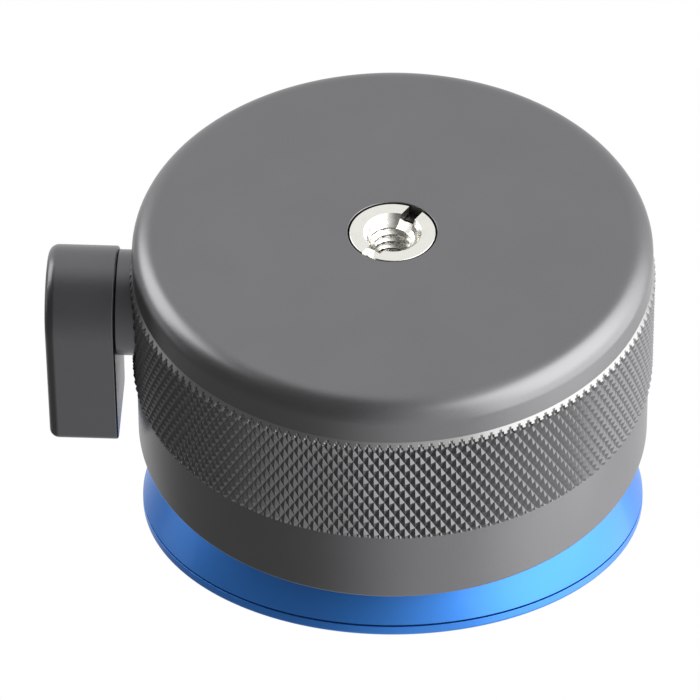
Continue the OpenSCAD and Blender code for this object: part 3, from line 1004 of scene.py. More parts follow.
    def seal(self) -> Skin:
        """The rubber ring round the lever's neck: a rectangle rounded all the way, turned about the neck.

        Returns:
            The surface, in millimetres.
        """
        near, far = self.seal_r - self.seal_wire_r, self.seal_r + self.seal_wire_r
        low, high = self.seal_x - self.seal_half_w, self.seal_x + self.seal_half_w
        corners = ((near, low), (far, low), (far, high), (near, high))
        ring = turned([(x, z, self.seal_half_w) for x, z in corners], steps=96, arc=8)
        return ring.placed(ALONG_X, (0, 0, self.shaft_z))

    def build(self) -> None:
        """Makes the cup, the grip and the seal, and dresses what is pressed in."""
        cup = mesh_object("housing_shell", self.shell())
        cut(cup, self.neck_hole())
        shade(cup)
        self.settle(cup, Finish.GREY, "grey_anodised", ["housing"])
        grip = mesh_object("housing_knurl", self.knurl())
        cut(grip, self.grip_limits(), join=True)
        cut(grip, self.neck_hole())
        shade(grip, flat=True)
        self.settle(grip, Finish.GRIP, "grey_anodised", ["housing"])
        self.add("neck_seal_ring", self.seal(), Finish.SEAL, "seal_rubber", ["neck_seal"])
        self.dress("thread_bush", Finish.BUSH)
        self.dress("outer_bearing_bush", Finish.BRONZE)
        self.dress("inner_bearing_bush", Finish.BRONZE)
        self.dress("guide_pins", Finish.PLAIN)
        self.dress("return_springs", Finish.SPRING)


# ---------------------------------------------------------------- insert


@dataclass
class ReducingInsert(SubAssembly):
    """The slotted bush in the base, with its fine thread."""

    body: str = "insert"
    inset: float = 0.1
    flange_r: float = 6.05
    flange_t: float = 1.3
    body_r: float = 4.73
    end_z: float = 7.9
    bowl_r: float = 4.1
    bowl_foot_r: float = 3.28
    bowl_z: float = 1.35
    thread_r: float = 3.18
    core_r: float = 2.55
    pitch: float = 1.27
    slot_w: float = 2.2
    slot_z: float = 1.8
    slot_heading: float = 121.5
    slot_reach: float = 8.0
    knee_out: float = 0.32
    knee_z: float = 0.75
    knee_round: float = 0.35
    lip_edge: float = 0.08
    flange_edge: float = 0.12
    flange_foot: float = 0.05
    body_edge: float = 0.1
    end_round: float = 0.3
    groove_half: float = 0.42
    flank: float = 0.36
    runout: float = 0.5
    columns: int = 144
    thread_rows: int = 84

    def thread_radius(self, along: Array, around: Array) -> Array:
        """Radius of the threaded bore.

        The share of a turn by which a point lies along its groove is (height / pitch - angle / full
        turn), less its whole part. The bore has the core's radius on the crest, and the groove's
        flanks are straight lines down to the full radius in the middle.

        Args:
            along: Heights in millimetres.
            around: Angles in radians.

        Returns:
            The radius in millimetres for each height and angle.
        """
        share = (along / self.pitch - around / TURN) % 1
        rise = np.clip((self.groove_half - np.abs(share - 0.5)) / self.flank, 0, 1)
        return self.core_r + (self.thread_r - self.core_r) * rise

    def outer(self) -> Array:
        """The profile from the bowl's foot over the flange to the thread's far end.

        Returns:
            Rows of (distance from the axis, height) in millimetres.
        """
        top, under = self.inset, self.inset + self.flange_t
        return filleted([
            (self.bowl_foot_r, self.bowl_z, 0),
            (self.bowl_foot_r + self.knee_out, self.knee_z, self.knee_round),
            (self.bowl_r, top, self.lip_edge), (self.flange_r, top, self.flange_edge),
            (self.flange_r, under, self.flange_foot), (self.body_r, under, self.body_edge),
            (self.body_r, self.end_z, self.end_round), (self.thread_r, self.end_z, 0)], loop=False)

    def build(self) -> None:
        """Makes the insert: outer profile, bowl, threaded bore, then the slot is cut."""
        outer = self.outer()
        around = even_turn(self.columns)
        height = np.linspace(self.end_z, self.bowl_z, self.thread_rows)[1:-1, None]
        wall = self.thread_radius(height, around[None])
        fade = np.clip((height - self.bowl_z) / self.runout, 0, 1)
        wall = self.bowl_foot_r + (wall - self.bowl_foot_r) * fade
        bore = rings_about_z(wall, height, around)
        body = rings_about_z(outer[:, :1], outer[:, 1:], around)
        skin = grid_skin(np.concatenate([body, bore]), close_rows=True)
        piece = mesh_object("reducing_insert_body", skin)
        reach, half = self.slot_reach, self.slot_w / 2
        slot = block((-reach, -half, -1), (reach, half, self.slot_z))
        cut(piece, slot.placed(turn_about("Z", self.slot_heading), (0, 0, 0)))
        shade(piece, 32)
        self.settle(piece, Finish.BRIGHT, "bright_steel", ["reducing_insert"])


# ---------------------------------------------------------------- lever


@dataclass
class LeverSide(SubAssembly):
    """The clamping lever with the cam shaft, its screw and its clip."""

    body: str = "lever"
    axis_z: float = SHAFT_Z
    inner_x: float = 38.9
    thickness: float = 9.9
    hub_r: float = 8.0
    blade: float = 21.1
    end_half_w: float = 6.65
    corner_r: float = 1.4
    edge: float = 1.4
    recess_r: float = 3.7
    recess_t: float = 3.0
    inner_edge: float = 0.35
    neck_r: float = 7.5
    neck_x: float = 23.8
    shaft_r: float = 4.0
    shaft_x: float = -33.0
    spigot_r: float = 5.0
    spigot_l: float = 5.0
    clip_x: float = 25.35
    clip_w: float = 1.1
    clip_r: float = 6.55
    cam_x: float = 11.0
    cam_w: float = 4.8
    cam_r: float = 5.5
    cam_throw: float = 0.424
    head_r: float = 3.5
    head_x: float = 45.8
    head_t: float = 2.6
    screw_r: float = 2.0
    screw_end: float = 34.4
    socket_af: float = 3.0
    socket_t: float = 1.6
    lip_edge: float = 0.25
    lip_start: float = 0.08
    screw_gap: float = 0.2
    spigot_gap: float = 0.03
    neck_edge: float = 0.25
    neck_end_edge: float = 0.18
    cam_sink: float = 0.5
    cam_edge: float = 0.25
    head_round: float = 0.45
    head_hole_r: float = 2.2
    socket_chamfer: float = 0.12
    around: int = 96

    def outline(self, share: Array) -> tuple[Array, Array, Array]:
        """The blade's outline as a taut band round three rollers: the hub and two corners.

        A point of the band is its roller's centre plus the roller's radius along the outward normal.
        On a straight run the centre and radius go evenly from one roller's to the next's while the
        normal stays.

        Args:
            share: Where along each of the six runs (arc, straight, arc ...) the points lie, 0 to 1.

        Returns:
            Centres, radii and outward normals, each with a row for every point, in (y, z).
        """
        y, z = self.end_half_w - self.corner_r, self.blade - self.corner_r
        centres = np.array([[0.0, 0.0], [y, z], [-y, z]])
        radii = np.array([self.hub_r, self.corner_r, self.corner_r])
        side = math.asin((self.hub_r - self.corner_r) / math.hypot(y, z)) - math.atan2(y, z)
        starts = np.array([-math.pi - side, side, math.pi / 2])
        ends = np.array([side, math.pi / 2, math.pi - side])
        n = len(share)
        angle = starts[:, None] + (ends - starts)[:, None] * share[None]
        arc_n = np.stack([np.cos(angle), np.sin(angle)], axis=2)
        arc_c = np.repeat(centres[:, None], n, axis=1)
        arc_r = np.repeat(radii[:, None], n, axis=1)
        after = np.roll(np.arange(3), -1)
        inside = share[None, :, None]
        run_n = np.repeat(arc_n[:, -1:], n, axis=1)
        run_c = centres[:, None] * (1 - inside) + centres[after][:, None] * inside
        run_r = radii[:, None] * (1 - share) + radii[after][:, None] * share
        stack = [np.stack(pair, axis=1) for pair in ((arc_c, run_c), (arc_n, run_n))]
        radius = np.stack([arc_r, run_r], axis=1).reshape(-1)
        return stack[0].reshape(-1, 2), radius, stack[1].reshape(-1, 2)

    def blade_skin(self) -> Skin:
        """The lever's block.

        Each ring of the surface is the band's outline moved in by an inset: none along the flat
        side, a quarter circle's at the outer edge, a small chamfer's at the inner one. Both faces go
        in from the outline to a round hole along rays from the hub's centre.

        Returns:
            The surface, in millimetres.
        """
        share = np.linspace(0, 1, 20)[:-1]
        centre, radius, normal = self.outline(share)
        bend = np.linspace(0, math.pi / 2, 9)
        depth = self.edge * (1 - np.cos(bend))
        outer_x = self.thickness - self.edge + self.edge * np.sin(bend)
        small = self.inner_edge * (1 - np.sin(bend[::2]))
        inner_x = self.inner_edge * (1 - np.cos(bend[::2]))
        inset = np.concatenate([small, depth])
        along = np.concatenate([inner_x, outer_x])
        keep = np.maximum(radius[None] - inset[:, None], CLOSED_R)
        rings = centre[None] + keep[:, :, None] * normal[None]
        rim = np.concatenate([np.broadcast_to(along[:, None, None], (*rings.shape[:2], 1)), rings], axis=2)
        ray = rings[-1] / np.linalg.norm(rings[-1], axis=1, keepdims=True)
        step = np.array([0.25, 0.5, 0.75, 0.92, 1.0])[:, None, None]
        face = rings[-1][None] * (1 - step) + ray[None] * (self.recess_r + self.lip_edge) * step
        face = np.concatenate([np.full((*face.shape[:2], 1), self.thickness), face], axis=2)
        ring = np.concatenate([rim, face, self.hole(ray)])
        return grid_skin(ring, close_rows=True).placed(UPRIGHT, (self.inner_x, 0, self.axis_z))

    def hole(self, ray: Array) -> Array:
        """The stepped hole in the lever's hub, from the outer face to the inner one.

        Each of its rings is a distance from the hub's centre along the rays, at a depth.

        Args:
            ray: Directions from the hub's centre in (y, z), one row each.

        Returns:
            Rings of points, shaped rings x rays x 3, in millimetres.
        """
        seat_r, seat_x = self.spigot_r + self.spigot_gap, self.spigot_l + self.spigot_gap
        screw_r, floor_x = self.screw_r + self.screw_gap, self.thickness - self.recess_t
        steps = np.array([
            [self.thickness - self.lip_start, self.recess_r + self.lip_start],
            [self.thickness - self.lip_edge, self.recess_r], [floor_x, self.recess_r], [floor_x, screw_r],
            [seat_x, screw_r], [seat_x, seat_r], [0.0, seat_r]])
        along = np.broadcast_to(steps[:, :1, None], (len(steps), len(ray), 1))
        return np.concatenate([along, ray[None] * steps[:, 1:, None]], axis=2)

    def shaft_skin(self) -> Skin:
        """The cam shaft turned about its own axis, with the clip's groove and the screw's hole.

        Returns:
            The surface, in millimetres.
        """
        low, high = self.clip_x, self.clip_x + self.clip_w
        end_x, hole_x = self.inner_x + self.spigot_l, self.screw_end - 1
        return turned([
            (0, self.shaft_x, 0), (self.shaft_r, self.shaft_x, 0.4), (self.shaft_r, self.neck_x, 0.3),
            (self.neck_r, self.neck_x, self.neck_edge), (self.neck_r, low, 0), (self.clip_r, low, 0),
            (self.clip_r, high, 0), (self.neck_r, high, 0), (self.neck_r, self.inner_x, self.neck_end_edge),
            (self.spigot_r, self.inner_x, 0.1), (self.spigot_r, end_x, 0.3),
            (self.screw_r, end_x, 0), (self.screw_r, hole_x, 0), (0, hole_x, 0)], steps=128, loop=False)

    def cams(self) -> Skin:
        """The two round cams, a little off the shaft's axis.

        Returns:
            The surface, in millimetres.
        """
        inside, half = self.shaft_r - self.cam_sink, self.cam_w / 2
        ring = turned([(inside, -half, 0), (self.cam_r, -half, self.cam_edge),
                       (self.cam_r, half, self.cam_edge), (inside, half, 0)], steps=self.around)
        near = ring.placed(UPRIGHT, (self.cam_throw, self.cam_throw, -self.cam_x))
        return near + ring.placed(UPRIGHT, (self.cam_throw, self.cam_throw, self.cam_x))

    def screw_skin(self) -> Skin:
        """The socket screw: head with rounded edge, hexagonal socket and a plain shank.

        The socket's radius at an angle is half its width over the cosine of the angle to the nearest
        flat's middle.

        Returns:
            The surface, in millimetres.
        """
        x, face_x = self.head_x, self.head_x + self.head_t
        around = even_turn(self.around)
        sixth = TURN / 6
        hexagon = self.socket_af / 2 / np.cos((around + sixth / 2) % sixth - sixth / 2)
        head = filleted([(self.screw_r, self.screw_end, 0.3), (self.screw_r, x, 0.1), (self.head_r, x, 0.1),
                         (self.head_r, face_x, self.head_round), (self.head_hole_r, face_x, 0)], loop=False)
        rows = np.concatenate([[(CLOSED_R, self.screw_end)], head])
        body = rings_about_z(rows[:, :1], rows[:, 1:], around)
        deep = np.array([[1.06, 0.0], [1.0, self.socket_chamfer], [1.0, self.socket_t],
                         [CLOSED_R, self.socket_t + 0.1]])
        socket = rings_about_z(deep[:, :1] * hexagon, face_x - deep[:, 1:], around)
        return grid_skin(np.concatenate([body, socket]))

    def build(self) -> None:
        """Makes the lever, the shaft and the screw, and dresses the clip."""
        self.add("lever_blade", self.blade_skin(), Finish.LEVER, "grey_anodised", ["lever"], sharp=34)
        place = (0, 0, self.axis_z)
        shaft = (self.shaft_skin() + self.cams()).placed(ALONG_X, place)
        self.add("cam_shaft_turned", shaft, Finish.LEVER, "dark_steel", ["cam_shaft"])
        screw = self.screw_skin().placed(ALONG_X, place)
        self.add("lever_screw_socket", screw, Finish.SCREW, "plain_steel", ["lever_screw"])
        self.dress("shaft_clip", Finish.SPRING)


# ---------------------------------------------------------------- clamp and seat


@dataclass
class Clamp(SubAssembly):
    """What the cams pull down inside the half ball."""

    body: str = "clamp"

    def build(self) -> None:
        """Dresses the yoke, the bolt, the shoe, the washers and the nut."""
        self.dress("tie_yoke", Finish.SHAFT)
        self.dress("tie_bolt", Finish.PLAIN)
        self.dress("clamp_shoe", Finish.SHOE)
        self.dress("spring_washers", Finish.SPRING)
        self.dress("tie_nut", Finish.PLAIN)


@dataclass
class SeatRing(SubAssembly):
    """The plastic ring that the half ball runs on."""

    body: str = "seat"
    inner_r: float = 23.2
    outer_r: float = 27.9
    low: float = 31.0
    top: float = SEAT_TOP_Z
    ball_z: float = BALL_Z
    run_r: float = SEAT_RUN_R
    mouth_r: float = SEAT_MOUTH_R
    top_edge: float = 0.25
    low_edge: float = 0.3

    def build(self) -> None:
        """Makes the ring, whose inner face over the bore is a slice of a sphere about the ball's centre."""
        reach = np.linspace(self.inner_r, self.mouth_r, 12)
        slope = np.stack([reach, self.ball_z - np.sqrt(self.run_r**2 - reach**2)], axis=1)
        rest = filleted([(self.mouth_r, self.top, 0), (self.outer_r, self.top, self.top_edge),
                         (self.outer_r, self.low, self.low_edge), (self.inner_r, self.low, 0)], loop=False)
        profile = np.concatenate([slope[:-1], rest])
        self.add("seat_ring_turned", revolved(profile, 192), Finish.SLIP, "slip_plastic", ["seat_ring"])


@dataclass
class Liner(SubAssembly):
    """The thin slip liner between the half ball and the clamp shoe."""

    body: str = "liner"

    def build(self) -> None:
        """Dresses the liner."""
        self.dress("slip_liner", Finish.SLIP)


# ---------------------------------------------------------------- platform


@dataclass
class Platform(SubAssembly):
    """The blue half ball and its plate, with the stud, the pad and the spirit level.

    The local frame has its origin in the ball's centre and its Z axis along the leaning axis.
    """

    body: str = "platform"
    ball_z: float = BALL_Z
    lean: float = LEAN
    heading: float = HEADING
    ball_r: float = 38.5
    ball_in_r: float = 34.5
    rim_r: float = 36.203
    joint: float = -13.1
    rim_gap: float = 0.25
    face: float = -11.3
    rim_round: float = 0.6
    plug_r: float = 32.48
    plug_foot: float = -15.9
    pole_r: float = 14.2
    stud_r: float = 4.76
    stud_core_r: float = 3.82
    stud_end: float = -1.8
    stud_pitch: float = 1.5875
    stud_chamfer: float = 0.9
    shank_r: float = 5.2
    flange_r: float = 7.5
    flange_t: float = 1.6
    pad_in_r: float = 9.6
    pad_out_r: float = 19.503
    pad_low: float = -11.9
    pad_top: float = -10.9
    pad_ribs: int = 8
    rib_depth: float = 0.32
    level_r: float = 26.003
    level_heading: float = -38.0
    cup_r: float = 5.5
    cup_in_r: float = 4.7
    cup_low: float = -14.9
    cup_floor: float = 0.5
    cup_edge: float = 0.12
    cup_round: float = 0.4
    window_t: float = 0.9
    bubble_r: float = 1.5
    bubble_t: float = 0.7
    bubble_at: float = 1.6
    seat_gap: float = 0.02
    rim_break: float = 0.12
    recess_gap: float = 0.05
    recess_edge: float = 0.08
    crest_half: float = 0.44
    crest_flank: float = 0.38
    runout: float = 0.8
    centre_r: float = 1.15
    centre_t: float = 0.7
    centre_edge: float = 0.15
    rib_margin: float = 0.5
    rib_power: float = 0.6
    pad_edge: float = 0.3
    glue: float = 0.01
    window_inset: float = 0.05
    mark_in_r: float = 1.95
    mark_out_r: float = 2.25
    columns: int = 144
    level_steps: int = 96

    @property
    def tilt(self) -> Array:
        """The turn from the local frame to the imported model's."""
        return turn_about("Z", self.heading) @ turn_about("X", self.lean)

    def leaning(self, skin: Skin) -> Skin:
        """A surface of the local frame, put in its place."""
        return skin.placed(self.tilt, (0, 0, self.ball_z))

    def level_spot(self) -> tuple[float, float]:
        """Where the level's axis meets the platform, in the local frame."""
        a = math.radians(self.level_heading)
        return self.level_r * math.cos(a), self.level_r * math.sin(a)

    def at_level(self, skin: Skin, shift: tuple[float, float] = (0.0, 0.0)) -> Skin:
        """Puts a surface about the level's axis in its place.

        Args:
            skin: The surface.
            shift: How far off the level's axis it lies, in the local frame.

        Returns:
            The placed surface.
        """
        x, y = self.level_spot()
        return self.leaning(skin.placed(UPRIGHT, (x + shift[0], y + shift[1], 0)))

    def ball_skin(self) -> Skin:
        """The half ball: arcs of the outer and inner spheres, joined at the plate's seat and the pole hole.

        Returns:
            The surface, in millimetres.
        """
        pole = math.asin(self.pole_r / self.ball_r)
        edge = math.acos(-self.joint / self.ball_r)
        out = np.linspace(edge, pole, 72)
        outer = np.stack([self.ball_r * np.sin(out), -self.ball_r * np.cos(out)], axis=1)
        seat = self.plug_r + self.seat_gap
        foot = min(math.asin(seat / self.ball_in_r), math.acos(-self.plug_foot / self.ball_in_r))
        back = np.linspace(math.asin(self.pole_r / self.ball_in_r), foot, 48)
        inner = np.stack([self.ball_in_r * np.sin(back), -self.ball_in_r * np.cos(back)], axis=1)
        lip = np.array([[seat, self.plug_foot], [seat, self.joint]])
        edge_round = np.array([[self.rim_r - self.rim_break, self.joint],
                               [self.rim_r - self.rim_break / 4, self.joint - 0.05]])
        return revolved(np.concatenate([outer[1:], inner, lip, edge_round]), 256)

    def plate_skin(self) -> Skin:
        """The plate: rim, plug, stud hole and pad recess as one closed profile.

        Returns:
            The surface, in millimetres.
        """
        low, pad, edge = self.joint + self.rim_gap, self.pad_low, self.recess_edge
        near, far = self.pad_in_r - self.recess_gap, self.pad_out_r + self.recess_gap
        seat = self.plug_foot + self.flange_t
        return turned([
            (self.shank_r, self.face, 0.1), (near, self.face, edge), (near, pad, 0), (far, pad, 0),
            (far, self.face, edge), (self.rim_r, self.face, self.rim_round),
            (self.rim_r, low, edge), (self.plug_r, low, 0), (self.plug_r, self.plug_foot, 0.2),
            (self.flange_r, self.plug_foot, 0), (self.flange_r, seat, 0), (self.shank_r, seat, 0)
        ], steps=256, arc=8)

    def stud_skin(self) -> Skin:
        """The camera stud.

        Its thread's radius follows the share of a turn, (height / pitch - angle / full turn) less its
        whole part: full on the crest, then straight flanks down to the core. A cone cuts the end.

        Returns:
            The surface, in millimetres.
        """
        around = even_turn(self.columns)
        height = np.linspace(self.face + 0.1, self.stud_end, 110)[:, None]
        share = (height / self.stud_pitch - around / TURN) % 1
        fall = np.clip((self.crest_half - np.abs(share - 0.5)) / self.crest_flank, 0, 1)
        wall = self.stud_r - (self.stud_r - self.stud_core_r) * fall
        cone = self.stud_r - (height - (self.stud_end - self.stud_chamfer))
        wall = np.minimum(wall, np.maximum(cone, self.stud_core_r - 0.1))
        fade = np.clip((height - self.face - 0.5) / self.runout, 0, 1)
        wall = self.stud_core_r + (wall - self.stud_core_r) * fade
        seat, edge = self.plug_foot + self.flange_t, self.rim_break
        foot = np.array([[CLOSED_R, self.plug_foot], [self.flange_r, self.plug_foot], [self.flange_r, seat],
                         [self.shank_r, seat], [self.shank_r, self.face - edge],
                         [self.shank_r - edge, self.face], [self.stud_core_r + 0.1, self.face]])
        end = np.array([[self.stud_core_r - 0.25, self.stud_end], [self.centre_r, self.stud_end],
                        [self.centre_r - self.centre_edge, self.stud_end - self.centre_edge],
                        [CLOSED_R, self.stud_end - self.centre_t]])
        low, top = (rings_about_z(rows[:, :1], rows[:, 1:], around) for rows in (foot, end))
        return grid_skin(np.concatenate([low, rings_about_z(wall, height, around), top]))

    def pad_skin(self) -> Skin:
        """The ribbed rubber ring: round ribs, a cosine wave of the distance from the axis.

        Returns:
            The surface, in millimetres.
        """
        first, last = self.pad_in_r + self.rib_margin, self.pad_out_r - self.rib_margin
        reach = np.linspace(first, last, self.pad_ribs * 12 + 1)
        wave = (1 + np.cos((reach - first) / (last - first) * TURN * self.pad_ribs)) / 2
        top = np.stack([reach, self.pad_top - self.rib_depth * (1 - wave**self.rib_power)], axis=1)
        sides = filleted([(last, self.pad_top, 0), (self.pad_out_r, self.pad_top, self.pad_edge),
                          (self.pad_out_r, self.pad_low, 0), (self.pad_in_r, self.pad_low, 0),
                          (self.pad_in_r, self.pad_top, self.pad_edge), (first, self.pad_top, 0)], 5, False)
        return revolved(np.concatenate([top, sides[1:-1]]))

    def level_skins(self) -> dict[str, Skin]:
        """The level's parts, about the level's own axis.

        Returns:
            The cup, fluid, bubble, window and mark (the printed ring), in millimetres.
        """
        low, top, steps = self.cup_low, self.face, self.level_steps
        glass, inner, floor = top - self.window_t, self.cup_in_r - self.glue, low + self.cup_floor
        cup = turned([(0, low, 0), (self.cup_r, low, 0.2), (self.cup_r, top, self.cup_edge),
                      (self.cup_in_r, top, self.cup_edge), (self.cup_in_r, floor, self.cup_round),
                      (0, floor, 0)], steps, 5, False)
        fluid = turned([(0, floor + self.glue, 0), (inner, floor + self.glue, self.cup_round),
                        (inner, glass, 0), (0, glass, 0)], steps, 5, False)
        dome = np.linspace(0, math.pi / 2, 14)
        deep = glass - 2 * self.glue - self.bubble_t * np.cos(dome)
        bubble = np.stack([self.bubble_r * np.sin(dome), deep], axis=1)
        lid = glass - self.glue
        bubble = np.concatenate([bubble, [[self.bubble_r - 0.1, lid], [0, lid]]])
        pane, under = top - self.window_inset, glass + self.glue
        window = turned([(0, under, 0), (inner, under, 0), (inner, pane, 0.1), (0, pane, 0)],
                        steps, 5, False)
        mark_low, mark_top = top - 0.06, top - 0.02
        mark = turned([(self.mark_in_r, mark_low, 0), (self.mark_out_r, mark_low, 0),
                       (self.mark_out_r, mark_top, 0), (self.mark_in_r, mark_top, 0)], steps, 2)
        return {"cup": cup, "fluid": fluid, "bubble": revolved(bubble, 64, False), "window": window,
                "mark": mark}

    def add_leaning(self, name: str, skin: Skin, finish: Finish, slot: str, node: str,
                    sharp: float = 28.0) -> None:
        """Adds a piece whose surface is given in the local frame.

        Args:
            name: Name of the piece.
            skin: Its surface, in millimetres.
            finish: Its finish.
            slot: The record's material slot.
            node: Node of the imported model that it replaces.
            sharp: Angle in degrees from which an edge stays sharp.
        """
        self.add(name, self.leaning(skin), finish, slot, [node], sharp)

    def build(self) -> None:
        """Makes the ball, plate, stud, pad and level, and dresses the stud's pin."""
        self.add_leaning("half_ball_shell", self.ball_skin(), Finish.BLUE, "blue_anodised", "half_ball")
        plate = mesh_object("platform_plate_turned", self.leaning(self.plate_skin()))
        pocket = turned([(0, self.cup_low, 0), (self.cup_r, self.cup_low, 0), (self.cup_r, 0, 0),
                         (0, 0, 0)], self.level_steps, 2, False)
        cut(plate, self.at_level(pocket))
        shade(plate)
        self.settle(plate, Finish.BLUE, "blue_anodised", ["platform_plate"])
        self.add_leaning("camera_stud_threaded", self.stud_skin(), Finish.STUD, "bright_steel",
                         "camera_stud", sharp=40)
        self.add_leaning("friction_pad_ribbed", self.pad_skin(), Finish.PAD, "pad_rubber", "friction_pad")
        off = {"bubble": (0.0, self.bubble_at)}
        skins = {part: self.at_level(skin, off.get(part, (0.0, 0.0)))
                 for part, skin in self.level_skins().items()}
        self.add("level_cup_turned", skins["cup"], Finish.BRASS, "bronze", ["level_cup"])
        self.add("level_liquid", skins["fluid"], Finish.LIQUID, "level_fluid", ["level_fluid"])
        self.add("level_air", skins["bubble"], Finish.AIR, "level_bubble", ["level_bubble"])
        self.add("level_glass", skins["window"], Finish.WINDOW, "level_window", ["level_window"])
        self.add("level_ring_mark", skins["mark"], Finish.MARK, "level_window")
        self.dress("stud_lock_pin", Finish.PLAIN)


# ---------------------------------------------------------------- studio


@dataclass
class Camera:
    """The camera, described in the display's frame: the base face looks up, the camera stands on -Y.

    Attributes:
        elevation: Height of the camera over the horizon in degrees, seen from the frame's origin.
        distance: Its distance from the origin in millimetres.
        focal_px: Focal length in pixels.
        target_px: Where the origin shows in the picture, in pixels from its upper left corner.
        roll: Turn about the line of sight in degrees.
        picture: Width and height of the picture in pixels.
        sensor: Width of the sensor in millimetres.
    """

    elevation: float = 41.41
    distance: float = 1027.8
    focal_px: float = 7340.0
    target_px: tuple[float, float] = (392.63, 231.80)
    roll: float = -0.37
    picture: int = 700
    sensor: float = 36.0

    def build(self) -> Piece:
        """Makes the camera and makes it the scene's.

        Returns:
            The camera object.
        """
        e, f, half = math.radians(self.elevation), self.focal_px, self.picture / 2
        du, dv = (self.target_px[0] - half) / f, (self.target_px[1] - half) / f
        pitch = e - math.atan(dv)
        yaw = -math.atan(du) / math.cos(pitch)
        spot = np.array([0, -self.distance * math.cos(e), self.distance * math.sin(e)])
        ahead = np.array([math.sin(yaw) * math.cos(pitch), math.cos(yaw) * math.cos(pitch),
                          -math.sin(pitch)])
        right = np.array([math.cos(yaw), -math.sin(yaw), 0])
        up = np.cross(right, ahead)
        c, s = math.cos(math.radians(self.roll)), math.sin(math.radians(self.roll))
        side, above = right * c + up * s, -right * s + up * c
        lens = bpy.data.cameras.new("camera")
        lens.sensor_width = self.sensor
        lens.lens = f * self.sensor / self.picture
        lens.clip_start, lens.clip_end = 0.05, 20
        made = bpy.data.objects.new("camera", lens)
        bpy.context.scene.collection.objects.link(made)
        axes = np.stack([DISPLAY @ side, DISPLAY @ above, -(DISPLAY @ ahead)], axis=1)
        place = np.eye(4)
        place[:3, :3], place[:3, 3] = axes, DISPLAY @ spot * MM
        made.matrix_world = Matrix(place.tolist())
        bpy.context.scene.camera = made
        return made


def hide_from(piece: Piece, *rays: str) -> None:
    """Hides a piece of the studio from kinds of rays."""
    for kind in rays:
        setattr(piece, f"visible_{kind}", False)


def display_direction(azimuth: float, elevation: float) -> Array:
    """A direction of the display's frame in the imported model's.

    Args:
        azimuth: Degrees from the direction to the camera towards its right.
        elevation: Degrees over the horizon.

    Returns:
        The direction, of length 1.
    """
    a, e = math.radians(azimuth), math.radians(elevation)
    return DISPLAY @ np.array([math.sin(a) * math.cos(e), -math.cos(a) * math.cos(e), math.sin(e)])


@dataclass(frozen=True)
class SoftBox:
    """A rectangular soft box that faces the object.

    Attributes:
        name: Name of the light.
        azimuth: Its direction in the display's frame.
        elevation: Its height over the horizon there.
        reach: Half its width and half its height, seen from the object.
        level: Its radiance.
        distance: Its distance in metres.
        aim: The point that it faces, in metres.
    """

    name: str
    azimuth: float
    elevation: float
    reach: tuple[float, float]
    level: float
    distance: float = 1.4
    aim: tuple[float, float, float] = (0.0, 0.0, 0.02)

    def build(self) -> None:
        """Makes the light, its -Z towards the object."""
        away = display_direction(self.azimuth, self.elevation)
        side = np.cross([0.0, 0.0, 1.0], away)
        side /= np.linalg.norm(side)
        place = np.eye(4)
        place[:3, 0], place[:3, 1], place[:3, 2] = side, np.cross(away, side), away
        place[:3, 3] = away * self.distance + np.array(self.aim)
        data = bpy.data.lights.new(self.name, "AREA")
        data.shape = "RECTANGLE"
        data.size, data.size_y = (2 * self.distance * math.tan(math.radians(x)) for x in self.reach)
        data.energy = self.level * math.pi * data.size * data.size_y
        made = bpy.data.objects.new(self.name, data)
        bpy.context.scene.collection.objects.link(made)
        made.matrix_world = Matrix(place.tolist())
        hide_from(made, "camera")


@dataclass(frozen=True)
class DarkCurtain:
    """A dark curtain that stands round a part of the object and shows in its gloss only.

    It is a slice of a sphere between two azimuths of the display's frame. It fades out towards both
    edges, by how far a point is from the upright plane through each edge.

    Attributes:
        first: Azimuth of one edge.
        last: Azimuth of the other edge.
        lean: How far the last edge leans towards the camera's right at its upper end, in degrees.
        soft: Width of the fade, as a share of the radius.
        spill: How far it goes past the first and the last edge, in degrees.
        glow: Its own radiance low down and high up.
        glow_span: Heights between which the radiance changes, as shares of the radius.
        radius: Radius in metres.
    """

    first: float
    last: float
    lean: float = 9.0
    soft: float = 0.5
    spill: tuple[float, float] = (25.0, 35.0)
    glow: tuple[float, float] = (0.20, 0.15)
    glow_span: tuple[float, float] = (-0.6, 0.1)
    radius: float = 1.9

    def build(self) -> None:
        """Makes the curtain and its material."""
        around = np.radians(np.linspace(self.first - self.spill[0], self.last + self.spill[1], 56))
        up = np.radians(np.linspace(-90, 90, 40))[:, None]
        points = np.stack([np.sin(around) * np.cos(up), -np.cos(around) * np.cos(up),
                           np.sin(up) * np.ones_like(around)], axis=2)
        skin = grid_skin(points * self.radius / MM, close_columns=False).placed(DISPLAY, (0, 0, 0))
        made = mesh_object("dark_curtain", skin)
        g = Graph("dark_curtain")
        at = g.node("ShaderNodeTexCoord").outputs["Object"]
        share: Socket | float = 1.0
        for edge, side, lean in ((self.first, 90, 0.0), (self.last, -90, self.lean)):
            deep = self.depth(g, at, display_direction(edge + side, lean))
            reach = self.soft * self.radius / 2
            share = g.math("MULTIPLY", share, g.range(deep, -reach, reach, 0, 1))
        high = self.depth(g, at, display_direction(0, 90))
        low_end, high_end = (part * self.radius for part in self.glow_span)
        glow = g.range(high, low_end, high_end, *self.glow)
        glow = g.node("ShaderNodeEmission", {0: (1, 1, 1, 1), 1: glow}).outputs[0]
        g.mix_surface(share, g.clear(), glow)
        made.data.materials.append(g.material)
        hide_from(made, "camera", "shadow", "diffuse", "transmission")

    def depth(self, g: Graph, at: Socket, way: Array) -> Socket:
        """How far a point lies along a direction, in metres."""
        dot = g.node("ShaderNodeVectorMath", {0: at, 1: tuple(way)}, operation="DOT_PRODUCT")
        return dot.outputs["Value"]


